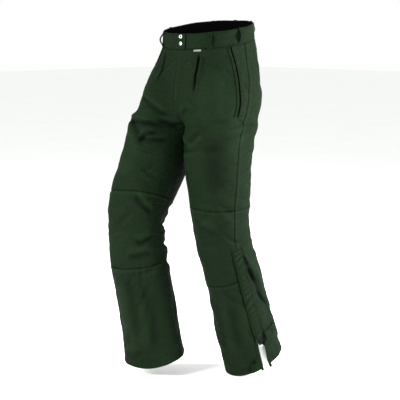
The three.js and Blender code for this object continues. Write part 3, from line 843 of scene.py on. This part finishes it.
def edged(length, step, soft=1.3):
    """Distances along a length, and at each the share of the full height: rounded off at both ends."""
    count = max(int((length - 2 * soft) / step), 1)
    middle = np.linspace(soft, length - soft, count + 1)
    start = np.array([0, 0, 0.12, 0.45]) * soft
    rise = np.array([0, 0.55, 0.83, 0.96])
    place = np.concatenate([start, middle, length - start[::-1]])
    return place, np.concatenate([rise, np.ones(count + 1), rise[::-1]])


def facing_in(points, inner):
    """Whether a grid's faces point towards its inner side."""
    j, i = points.shape[0] // 2, points.shape[1] // 2
    down = points[min(j + 2, len(points) - 1), i] - points[j - 1, i]
    over = points[j, min(i + 2, points.shape[1] - 1)] - points[j, i - 1]
    return float(np.dot(np.cross(over, down), points[j, i] - inner[j, i])) < 0


def sewn_on(name, where, length, width, lift, material, under=-0.6, texture=None, taper=None, step=2.2):
    """A piece of cloth sewn on the outer cloth, its edges turned under."""
    a, rise_a = edged(length, step)
    b, rise_b = edged(width, step)
    rise = np.minimum(rise_a[:, None], rise_b[None])
    a, b = np.broadcast_arrays(a[:, None], b[None] - width / 2)
    out = under + (lift - under) * rise
    # Painted shadow along the turned-under edges, painted highlight on the rounded shoulders inside
    # them.
    shade = np.where(rise < 0.6, -0.7, np.where(rise < 0.99, 0.3, 0.0))
    if texture is not None:
        raised = texture(a, b) * (rise > 0.9)
        # Painted shade in the texture's hollows and painted highlight on its rises.
        out, shade = out + raised, shade + np.clip(0.5 * raised, -0.6, 0.3)
    wide = b if taper is None else b * taper(a)
    points = where(a, wide, out)
    inward = facing_in(points, where(a, wide, out - 3))
    return grid_object(name, points, material, inward, np.stack([b, a], -1), shade)


THREADS = {}


def sew(zone, where, stretch, offset=0.0, out=0.1, pitch=3.3, long=2.5, thick=0.62):
    """A row of stitches along a where() function, gathered under a zone to become one piece."""
    start = np.arange(stretch[0], stretch[1] - long, pitch)
    if len(start) == 0:
        return
    middle, end = start + long / 2, start + long
    b = np.zeros(len(start)) + offset
    half = thick / 2
    ends = [where(start, b, out - 0.2 + 0 * b), where(end, b, out - 0.2 + 0 * b)]
    ring = [(half, 0), (0, half), (-half, 0), (0, -half)]
    around = [where(middle, b + across, out + up + 0 * b) for across, up in ring]
    THREADS.setdefault(zone, []).append(np.stack([ends[0], *around, ends[1]], 1))


def bar_tack(zone, where, a, width, offset=0.0, rows=7, out=0.3):
    """Close stitches side by side, as across the end of an opening."""
    reach = (a - width / 2, a + width / 2)
    for k in range(rows):
        sew(zone, where, reach, offset + (k - rows / 2) * 0.55, out, width, width, 0.7)


def make_threads():
    """One mesh of stitches for each zone: every stitch is six points, pointed at both ends."""
    first_end = [[0, 1, 2], [0, 2, 3], [0, 3, 4], [0, 4, 1]]
    shape = np.array(first_end + [[5, 2, 1], [5, 3, 2], [5, 4, 3], [5, 1, 4]])
    made = {}
    for zone, rows in THREADS.items():
        points = np.concatenate(rows)
        count = len(points)
        faces = (shape[None] + 6 * np.arange(count)[:, None, None]).reshape(-1, 3)
        made[zone] = make_mesh(f"stitches_{zone}", points.reshape(-1, 3), faces, THREAD)
    return made


# ---- The outer cloth -----------------------------------------------------------------


def hem_of(side, turn):
    """Drop of the hem, which hangs lower at the inner front than at the back."""
    fall, slant = {"left": (-4, 17), "right": (5, 9)}[side]
    return HEM[side] + fall - slant * np.sin(np.radians(np.asarray(turn) + 45))


def band_edge(side, turn):
    return BAND_DEPTH + 0 * np.asarray(turn)


for side in SIDES:
    front_upper = cloth_panel(f"front_upper_{side}", side, band_edge, above_knee, (-1, 0))
    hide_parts(f"front_hip_{side}", f"front_thigh_{side}")
    bend_at_hip(front_upper)
    back_upper = cloth_panel(f"back_upper_{side}", side, band_edge, above_knee, (0, 1))
    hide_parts(f"back_hip_{side}", f"back_thigh_{side}")
    bend_at_hip(back_upper)
    knee = cloth_panel(f"knee_{side}", side, above_knee, below_knee, (-1, 0))
    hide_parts(f"knee_panel_{side}")
    bend_at_knee(knee)
    shin = cloth_panel(f"front_lower_{side}", side, below_knee, hem_of, (-1, 0), turned_hem=True)
    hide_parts(f"front_shin_{side}")
    on_shin(shin, side)
    back_lower = cloth_panel(f"back_lower_{side}", side, above_knee, hem_of, (0, 1), turned_hem=True)
    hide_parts(f"back_shin_{side}")
    bend_at_knee(back_lower)

# ---- Pads and lining -----------------------------------------------------------------


def inside(side, drop, u, depth):
    """Points a depth inside the form, under the deepest folds of the outer cloth."""
    return form_at(side, drop, angle_of(side, drop, u), depth)


def pad(name, side, drops, span=PAD_SPAN):
    """A quilted pad: closed, plump between its channels, and thin at its edges."""
    middle = sum(drops) / 2
    wide = (span[1] - span[0]) * math.pi * float(radius(side, middle))
    long = drops[1] - drops[0]
    a, b = np.linspace(0, long, int(long / 7)), np.linspace(0, wide, int(wide / 7))
    edge_a, edge_b = np.minimum(a, long - a)[:, None], np.minimum(b, wide - b)[None]
    plump = np.sqrt(smooth(np.minimum(edge_a, edge_b), 0, 14))
    quilted = plump * (1 - 0.35 * bell(np.sin(math.pi * b / 58) * 6)[None])
    drop = drops[0] + a[:, None] + 0 * b[None]
    u = span[0] + (span[1] - span[0]) * b[None] / wide + 0 * a[:, None]
    half = PAD_THICK / 2 * quilted
    face = inside(side, drop, u, PAD_DEPTH + PAD_THICK / 2 - half)
    back = inside(side, drop, u, PAD_DEPTH + PAD_THICK / 2 + half)
    made = two_faced(name, face, back, side == "left", WADDING)
    weld = bmesh.new()
    weld.from_mesh(made.data)
    bmesh.ops.remove_doubles(weld, verts=weld.verts, dist=1e-6)
    weld.to_mesh(made.data)
    weld.free()
    return made


def lining(name, side, drops, span, depth, material, step=6.0):
    """A loose sheet of lining inside the cloth."""
    middle = sum(drops) / 2
    wide = (span[1] - span[0]) * math.pi * float(radius(side, middle))
    long = drops[1] - drops[0]
    down, over = np.linspace(*drops, int(long / step)), np.linspace(*span, int(wide / step))
    drop, u = np.meshgrid(down, over, indexing="ij")
    wave = 1.2 * np.sin(u * 19 + drop / 61) + 0.8 * np.sin(drop / 23 + u * 7)
    points = inside(side, drop, u, depth + wave)
    made = grid_object(name, points, material, side == "left")
    return made


for side in SIDES:
    join = ABOVE_KNEE[side] + 20
    hem = HEM[side]
    upper_pad = pad(f"thigh_protection_{side}", side, (130, join))
    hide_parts(f"hip_pad_{side}", f"thigh_pad_{side}")
    bend_at_hip(upper_pad)
    lower_pad = pad(f"shin_protection_{side}", side, (join + 4, hem - 40))
    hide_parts(f"shin_pad_{side}")
    bend_at_knee(lower_pad)
    seat_lining = lining(f"seat_lining_{side}", side, (54, 300), (-0.96, 0.98), LINING_DEPTH, BLACK)
    bend_at_hip(seat_lining)
    upper_lining = lining(f"upper_lining_{side}", side, (300, join), LINING_SPAN, LINING_DEPTH, PALE)
    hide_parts(f"thigh_lining_{side}")
    bend_at_hip(upper_lining)
    lower_lining = lining(f"lower_lining_{side}", side, (join, hem - 6), LINING_SPAN, LINING_DEPTH, PALE)
    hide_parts(f"shin_lining_{side}")
    bend_at_knee(lower_lining)

# ---- Waistband, belt loops and tab ---------------------------------------------------


def slack(bearing, drop):
    """How a worn waistband stands off its form, and how its edge rises and falls, in millimetres."""
    out = 0.8 * np.sin(bearing * 5 + 1) + 0.6 * np.sin(bearing * 11 + drop / 14)
    out = out + 0.3 * np.sin(bearing * 23 - drop / 9)
    return out, 0.5 * np.sin(bearing * 4 + 2) + 0.35 * np.sin(bearing * 9)


def waistband():
    """Double cloth all the way round: outer face, turned lower edge, inner face and rolled top edge."""
    profile = [(46.6, -2.6), (47.2, -1.2), (46.6, -0.1), (45.2, 0.25), (44, -0.35), (42.5, 0.2)]
    profile += [(d, 0.45) for d in np.linspace(40, 6, 14)]
    profile += [(4.2, 0.2), (2.8, -0.35), (1.4, 0.1), (0.2, -0.5), (-0.4, -1.6), (0.2, -2.5)]
    profile += [(1.6, -2.8)]
    profile += [(d, -2.7) for d in np.linspace(6, 44, 8)]
    drop = np.array([p[0] for p in profile])[:, None]
    out = np.array([p[1] for p in profile])[:, None]
    start = -float(angle_at_x(section(COMMON, np.array([20.0])), TAB["root"] + 1.0, 0)[0])
    bearing = start + np.linspace(0, 2 * math.pi - 0.01, 420)[None]
    round_it = bearing * 140
    by_stitches = bell((drop - 44) / 3) + bell((drop - 3) / 3)
    puckers = 0.22 * np.sin(round_it / 1.9 + 2 * np.sin(round_it / 31)) * by_stitches
    loose, rise = slack(bearing, drop)
    points = band_at(bearing, drop + rise, out + puckers * (out > -1.5) + loose)
    inner = band_at(bearing, drop + rise, out + loose - 3)
    uv = np.stack([round_it + 0 * drop, drop + 0 * bearing], -1)
    # Painted shade along both stitch lines and in the puckers' hollows; painted highlight on the rolled
    # top edge and the puckers' rises.
    shade = -0.55 * (bell((drop - 44) / 1.2) + bell((drop - 2.8) / 1.0))
    shade = (shade + 0.2 * bell((drop - 0.6) / 1.5) + 0.6 * puckers) * (out > -1.0)
    made = grid_object("waistband_cloth", points, GREEN, facing_in(points, inner), uv, shade)
    return made


def band_lining():
    drop = np.array([1.5, 2.0, 8, 16, 24, 32, 40, 48, 54, 57])[:, None]
    bearing = np.linspace(-math.pi / 2, 1.5 * math.pi, 200)[None]
    loose, rise = slack(bearing, drop)
    out = -3.7 + loose - 2.5 * smooth(drop, 36, 57)
    made = grid_object("band_lining", band_at(bearing, drop + rise, out), BLACK, False)
    return made


band = waistband()
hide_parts("waistband")
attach(band, "seat")
band_inside = band_lining()
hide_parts("waistband_lining")
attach(band_inside, "seat")


def round_band(a, b, out):
    """where() for the waistband: a is the distance round it from the wearer's left side, b the drop."""
    return band_at(np.asarray(a) / BAND_RADIUS, np.asarray(b, float), out)


def squared(up, over):
    """Unit directions up, over and out, at right angles to each other."""
    up /= np.linalg.norm(up)
    over -= up * np.dot(over, up)
    over /= np.linalg.norm(over)
    return up, over, np.cross(over, up)


def frame_on_band(bearing, drop):
    """Middle, and directions across, up and out, at a place on the waistband."""
    at = band_at(np.array(bearing), np.array(float(drop)))
    up = band_at(np.array(bearing), np.array(drop - 10.0)) - at
    over = band_at(np.array(bearing + 0.03), np.array(float(drop))) - at
    up, over, out = squared(up, over)
    if np.dot(out, at * [1, 1, 0]) < 0:
        out = -out
    return at, over, up, out


def strap(name, spine, over, normals, width, thick, material):
    """A strap with rounded edges along a spine of points."""
    half, round_by = width / 2, thick * 0.45
    flat = half - round_by
    ring = [(-flat, -thick / 2), (flat, -thick / 2), (half, 0), (flat, thick / 2)]
    across = np.linspace(flat, -flat, 7)[1:]
    ring += [(float(x), thick / 2) for x in across] + [(-half, 0)]
    points = [[p + over * x + n * z for x, z in ring] for p, n in zip(spine, normals)]
    rows, columns = len(points), len(ring)
    quads = grid_faces(rows, columns, True, closed=True)
    return make_mesh(name, np.array(points).reshape(-1, 3), quads, material)


def belt_loop(name, bearing):
    """A strap sewn down above and below, bowed out between."""
    at, over, up, out = frame_on_band(bearing, BAND_DEPTH / 2)
    t = np.linspace(-1, 1, 33)
    bow = 1.8 + 9.4 * (1 - smooth(np.abs(t), 0.05, 0.88)) ** 0.85
    lean = 0.6 * np.sin(t * 3 + bearing)
    spine = [at + up * (y * 24.5) + out * z + over * x for y, z, x in zip(t, bow, lean)]
    to = np.gradient(np.array(spine), axis=0)
    normals = np.cross(over, to)
    normals /= np.linalg.norm(normals, axis=1)[:, None]
    normals *= np.sign(normals @ out)[:, None]
    made = strap(f"loop_{name}", spine, over, normals, 15, 2.2, GREEN)
    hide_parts(f"belt_loop_{name}")
    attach(made, "seat")

    def where(a, b, lift):
        a, b = np.asarray(a, float), np.asarray(b, float)
        return at + a[..., None] * over + b[..., None] * up + (2.9 + np.asarray(lift))[..., None] * out

    for height_mm in (21.5, -21.5):
        bar_tack("band", where, 0, 12, height_mm, rows=6, out=0.25)


for side in SIDES:
    for place, degrees in LOOP_BEARINGS.items():
        bearing = math.radians(degrees if side == "left" else 180 - degrees)
        belt_loop(f"{place}_{side}", bearing)
belt_loop("centre_back", math.pi / 2)


def waist_tab():
    """The strap that laps over the front opening and carries the press-stud caps."""
    wide, deep = TAB["root"] - TAB["free"], BAND_DEPTH - 1
    a, rise_a = edged(deep, 2.0, 1.6)
    b, rise_b = edged(wide, 2.0, 1.6)
    rise = np.minimum(rise_a[:, None], rise_b[None])
    a, b = np.broadcast_arrays(a[:, None], b[None])
    corner = 2.5 * bell(b / 7)
    drop = 0.5 + deep / 2 + (a - deep / 2) * (1 - corner / deep)
    quilt = -0.35 * bell((a - 3) / 0.9) - 0.35 * bell((a - deep + 3) / 0.9)
    quilt = quilt - 0.35 * bell((b - 3) / 0.9)
    quilt = quilt - 0.4 * bell((b - wide + 12) / 1.0) + 0.25 * np.sin(b / 5 + a / 9)
    out = TAB["under"] + (TAB["face"] - TAB["under"]) * rise + quilt * (rise > 0.9)
    face = front(TAB["free"] + b, drop, out)
    back = front(TAB["free"] + b, drop, TAB["under"] + 0 * b)
    flip = facing_in(face, back - (face - back) - 1e-3 * face)
    uv = np.concatenate([np.stack([b, a], -1).reshape(-1, 2)] * 2)
    made = two_faced("tab_cloth", face, back, flip, GREEN, uv)
    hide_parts("waist_tab")
    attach(made, "tab_body")

    def where(a, b, lift):
        return front(TAB["free"] + np.asarray(a), 0.5 + np.asarray(b, float), TAB["face"] + lift)

    def up_tab(a, b, lift):
        return front(TAB["free"] + np.asarray(b), 0.5 + np.asarray(a, float), TAB["face"] + lift)

    for row in (3.0, deep - 3.0):
        sew("tab", where, (3, wide - 1), row)
    for column in (3.0, wide - 12):
        sew("tab", up_tab, (4, deep - 3), column)


waist_tab()


def lathe(name, at, over, up, out, profile, materials, sides=40):
    """A turned piece: profile is a list of (radius, height, material)."""
    turns = np.linspace(0, 2 * math.pi, sides, endpoint=False)
    ways = [over * math.cos(t) + up * math.sin(t) for t in turns]
    points = np.array([[at + out * h + way * r for way in ways] for r, h, _ in profile])
    quads = grid_faces(len(profile), sides, False, closed=True)
    made = make_mesh(name, points.reshape(-1, 3), quads, materials[0])
    for extra in materials[1:]:
        made.data.materials.append(extra)
    which = np.repeat([p[2] for p in profile[:-1]], sides)
    made.data.polygons.foreach_set("material_index", which.astype(np.int32))
    return made


def snap_caps():
    """The upper cap is a ring with a dark middle, and the lower one a plain dome."""
    ring = [(0.01, 4.2, 1), (2.6, 4.25, 1), (3.1, 4.5, 0), (3.6, 5.6, 0), (4.6, 6.0, 0)]
    ring += [(5.7, 5.7, 0), (6.25, 5.0, 0), (6.3, 4.3, 0), (5.9, 3.9, 0), (4.5, 3.8, 0)]
    dome = [(0.01, 6.6, 0), (1.6, 6.5, 0), (3.2, 6.2, 0), (4.6, 5.7, 0), (5.7, 5.1, 0)]
    dome += [(6.25, 4.6, 0), (6.3, 4.2, 0), (5.9, 3.9, 0), (4.5, 3.8, 0)]
    for where, profile in (("upper", ring), ("lower", dome)):
        low, high = (np.array(c) * 1000 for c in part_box(f"snap_cap_{where}"))
        x = (low[0] + high[0]) / 2
        drop = float(front(x, 0)[2]) - (low[2] + high[2]) / 2
        at = front(x, drop)
        up = front(x, drop - 5) - at
        over = front(x + 5, drop) - front(x - 5, drop)
        up, over, out = squared(up, over)
        cap = lathe(f"press_stud_{where}", at, over, up, out, profile, [SILVER, ENAMEL])
        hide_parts(f"snap_cap_{where}")
        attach(cap, "tab_body")


snap_caps()
for row in (2.8, 44.0):
    sew("band", round_band, (-BAND_RADIUS * 1.38, BAND_RADIUS * 4.55), row, 0.05)

# ---- Fly -----------------------------------------------------------------------------


def fly():
    """The flap over the zip: free along one edge, and sewn down along a line that curves in below."""
    long = FLY["bottom"] - BAND_DEPTH - 1
    a, rise_a = edged(long, 2.4)
    share = np.concatenate([[0, 0, 0.008, 0.02], np.linspace(0.05, 1, 17)])[None]
    drop = BAND_DEPTH + 1 + a[:, None]
    turn_in = np.clip((drop - FLY["curve"]) / (FLY["bottom"] - FLY["curve"]), 0, 1)
    right_edge = FLY["free"] + (FLY["sewn"] - FLY["free"]) * np.sqrt(np.maximum(1 - turn_in**2, 0.02))
    x = FLY["free"] + (right_edge - FLY["free"]) * share
    lift = np.where(share <= 0, -0.6, 2.1 - 2.4 * share)
    lift[:, 1:4] = [1.2, 1.8, 2.1]
    stitch = FLY["free"] + (right_edge - FLY["free"]) * 0.8
    groove = bell((x - stitch) / 2.0)
    lift = lift - 0.8 * groove + 0.25 * np.sin(drop / 6 + x / 7) * (share > 0.05)
    lift = -0.6 + (lift + 0.6) * rise_a[:, None]
    points = front(x, drop + 0 * x, lift)
    inner = front(x, drop + 0 * x, lift - 3)
    from_edge = x - FLY["free"]
    # Painted shadow along the flap's free edge and its stitched groove; painted highlight just inside
    # the free edge.
    shade = -0.8 * groove - 0.95 * bell(from_edge / 2.2) + 0.35 * bell((from_edge - 6) / 2)
    uv = np.stack([x, drop + 0 * x], -1)
    made = grid_object("fly_cloth", points, GREEN, facing_in(points, inner), uv, shade)
    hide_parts("fly_flap")
    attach(made, "seat")

    def down(offset_share):
        def where(a, b, out):
            d = np.asarray(a, float)
            inward = np.clip((d - FLY["curve"]) / (FLY["bottom"] - FLY["curve"]), 0, 1)
            edge = (FLY["sewn"] - FLY["free"]) * np.sqrt(np.maximum(1 - inward**2, 0.0))
            return front(FLY["free"] + edge * offset_share + np.asarray(b), d, out + 0.2)

        return where

    sew("seat", down(0.8), (BAND_DEPTH + 3, FLY["bottom"] - 3))
    sew("seat", down(0.8), (BAND_DEPTH + 3, FLY["bottom"] - 3), 2.2)
    sew("seat", down(0.0), (BAND_DEPTH + 3, FLY["bottom"] - 3), 2.5, 1.9)

    def low_end(a, b, out):
        return front(FLY["free"] + 3 + np.asarray(b), FLY["bottom"] - 4 + np.asarray(a, float), out)

    bar_tack("seat", low_end, 0, 9, 0, rows=9, out=1.6)


fly()

# ---- Pockets, label and stitched lines -----------------------------------------------

POCKET_MOUTH = [(-23, 49), (-19.5, 90), (-16, 150), (-14, 215), (-16, 262)]


def shifted(path, mm, side):
    """A path moved towards the back."""
    return [(turn + math.degrees(mm / float(radius(side, drop))), drop) for turn, drop in path]


def puckered(a, b):
    return 0.22 * np.sin(a / 1.9 + 1.5 * np.sin(a / 17)) + 0.2 * np.sin(a / 7.3 + b / 4)


for side in SIDES:
    gap = 7.0 if side == "left" else 9.0
    mouth, long = follow(side, POCKET_MOUTH)
    # A black strip laid over the pocket mouth: painted shadow of the opening, over the black pocket bag
    # behind it.
    dark = sewn_on(f"pocket_opening_{side}", mouth, long, gap, 0.5, BLACK)
    bend_at_hip(dark)
    lip_at, lip_long = follow(side, shifted(POCKET_MOUTH, -gap / 2 - 2.5, side))
    lip = sewn_on(f"pocket_lip_{side}", lip_at, lip_long, 7.5, 2.3, GREEN, texture=puckered, step=1.8)
    bend_at_hip(lip)
    sew(f"upper_{side}", lip_at, (2, lip_long - 2), 1.6, 2.0)
    welt_at, welt_long = follow(side, shifted(POCKET_MOUTH, gap / 2 + 7.5, side))
    welt = sewn_on(f"pocket_welt_cloth_{side}", welt_at, welt_long, 15, 1.7, GREEN, texture=puckered)
    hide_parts(f"pocket_welt_{side}")
    bend_at_hip(welt)
    sew(f"upper_{side}", welt_at, (2, welt_long - 2), 5.8, 1.5)
    for drop in (52, 258):
        bar_tack(f"upper_{side}", mouth, drop - 49 + 3, 8, 0, rows=7, out=1.5)
    bag = lining(f"pocket_bag_cloth_{side}", side, (58, 268), (-0.5, -0.04), 11.0, BLACK)
    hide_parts(f"pocket_bag_{side}")
    bend_at_hip(bag)
    low, low_long = follow(side, [(-17, 263), (-8, 276), (0, 287)])
    for offset in (-1.4, 1.4):
        sew(f"upper_{side}", low, (0, low_long), offset)

gape_at, gape_long = follow("right", [(-51, 50), (-47, 76), (-42, 106)])


def gape_taper(a):
    return 1 - 0.6 * smooth(a, 20, 56)


# A black tapering strip: painted shadow inside the gaping right pocket.
gape = sewn_on("pocket_gape_right", gape_at, gape_long, 8, 1.6, BLACK, taper=gape_taper)
bend_at_hip(gape)
back_at, back_long = follow("right", [(50, 94), (50, 226)])
back_pocket = sewn_on(
    "back_pocket_cloth", back_at, back_long, 128, 2.0, GREEN, texture=puckered, step=3
)
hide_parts("back_pocket")
bend_at_hip(back_pocket)
for offset in (-61, -58, 58, 61):
    sew("upper_right", back_at, (2, back_long - 2), offset, 1.9)


def label_at(a, b, out):
    return front(64 + np.asarray(b), BAND_DEPTH + 1.5 + np.asarray(a, float), out)


label = sewn_on("blank_label", label_at, 5.5, 24, 1.0, LABEL, step=1.5)
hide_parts("side_label")
bend_at_hip(label)

YOKE = [(3, 68), (40, 84), (88, 92)]
STITCHED_LINES = {
    "left": [[(-64, 62), (-56, 88), (-46, 105), (-34, 114), (-24, 122)], YOKE],
    "right": [[(-64, 58), (-72, 72), (-80, 84)], YOKE],
}
for side in SIDES:
    for path in STITCHED_LINES[side]:
        where, long = follow(side, path)
        for offset in (-1.3, 1.3):
            sew(f"upper_{side}", where, (0, long), offset)


def seam_line(side, drops, beside):
    """A path down the side seam, some millimetres beside it."""
    found = []
    for drop in np.linspace(*drops, 14):
        seam = math.degrees(float(seam_angle(side, drop)))
        turn = seam + math.degrees(beside / float(radius(side, drop)))
        found.append((turn, float(drop)))
    return found


def sew_line(zone, side, path):
    where, long = follow(side, path)
    sew(f"{zone}_{side}", where, (0, long))


for side in SIDES:
    knee = ABOVE_KNEE[side]
    front_edge = math.degrees(float(seam_angle(side, BELOW_KNEE[side]))) - 12
    for beside in SEAM_ROWS:
        sew_line("upper", side, seam_line(side, (BAND_DEPTH + 3, knee - 2), beside))
        sew_line("lower", side, seam_line(side, (knee + 6, COVER_TOP[side] - 4), beside))
    for beside in SEAM_ROWS:
        over_knee = [(t, float(above_knee(side, t)) + beside) for t in range(-168, 169, 8)]
        sew_line("lower", side, over_knee)
        turns = np.linspace(-168, front_edge, 20)
        sew_line("shin", side, [(float(t), float(below_knee(side, t)) + beside) for t in turns])
    sew_line("shin", side, [(t, HEM[side] - HEM_TURN + 2.0) for t in range(-172, 173, 8)])

# ---- Leg zips, slits and hem tabs ----------------------------------------------------


def gathered(a, b):
    """Cloth drawn up by the zip's stitching: short level puckers."""
    uneven = 0.6 + 0.4 * np.sin(a / 23 + 1)
    puckers = uneven * np.sin(a / 2.8 + 2.2 * np.sin(a / 17) + b / 6) * (1 - np.abs(b) / 22)
    return puckers - 1.1 * bell((np.abs(b) - COVER_STITCH) / 1.2)


for side in SIDES:
    top, bottom = LEG_ZIP[side]
    where, long = follow(side, seam_line(side, (COVER_TOP[side], bottom + 4), 0), folds=0.0)

    def narrowing(a, long=long):
        return 1 - 0.7 * smooth(a, long - 46, long)

    cover = sewn_on(
        f"zip_placket_{side}", where, long, 32, 3.4, GREEN, -1.5, gathered, narrowing, 1.5
    )
    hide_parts(f"zip_cover_{side}")
    bend_at_knee(cover)
    for offset in (-COVER_STITCH, COVER_STITCH):
        sew(f"lower_{side}", where, (3, long - 44), offset, 2.7)
    bar_tack(f"lower_{side}", where, 3, 5, -8, rows=30, out=3.0)
    for word, beside in (("front", -SLIT - 4.5), ("back", SLIT + 4.5)):
        edge_at, edge_long = follow(side, seam_line(side, (bottom + 4, HEM[side] - 1), beside))
        name = f"slit_edge_{word}_{side}"
        facing = sewn_on(name, edge_at, edge_long, 9, 1.5, GREEN, texture=puckered)
        on_shin(facing, side)
        sew(f"shin_{side}", edge_at, (2, edge_long - 2), 2.6 * np.sign(beside), 1.3)
    sew_line("shin", side, seam_line(side, (top + 10, bottom - 30), 27))
    seam = math.degrees(float(seam_angle(side, bottom)))
    tab_path = [(seam + 12.5, bottom - 17), (seam + 32, bottom - 21), (seam + 50.5, bottom - 25)]
    tab_at, tab_long = follow(side, tab_path)
    name = f"hem_tab_cloth_{side}"
    tab = sewn_on(name, tab_at, tab_long, 26, 4.2, GREEN, under=1.6, texture=puckered)
    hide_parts(f"hem_tab_{side}")
    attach(tab, f"hem_tab_body_{side}")

    def slot_at(a, b, out, where=tab_at, middle=tab_long * 0.42):
        return where(middle + np.asarray(b), np.asarray(a) - 8, out)

    # A black strip on the hem tab: painted shadow of its slot.
    opening = sewn_on(f"tab_slot_{side}", slot_at, 16, 2.6, 4.7, BLACK, under=2.6, step=1.2)
    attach(opening, f"hem_tab_body_{side}")
    for offset in (-10, 10):
        sew(f"tab_{side}", tab_at, (3, tab_long - 3), offset, 4.1)

# ---- Stitches, and the nodes that keep their shape -----------------------------------

for zone, piece in make_threads().items():
    kind, _, side = zone.partition("_")
    if kind == "upper":
        bend_at_hip(piece)
    elif kind == "lower":
        bend_at_knee(piece)
    elif kind == "shin":
        on_shin(piece, side)
    elif kind == "tab":
        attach(piece, f"hem_tab_body_{side}" if side else "tab_body")
    else:
        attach(piece, "seat")

LOOKS = {"snap": SILVER, "slider": SILVER, "pull": SILVER, "zip_tape": TAPE, "shield": GREEN}
for name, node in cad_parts.items():
    if not node.hide_render:
        look = next(look for word, look in LOOKS.items() if word in name)
        node.data.materials.clear()
        node.data.materials.append(look)
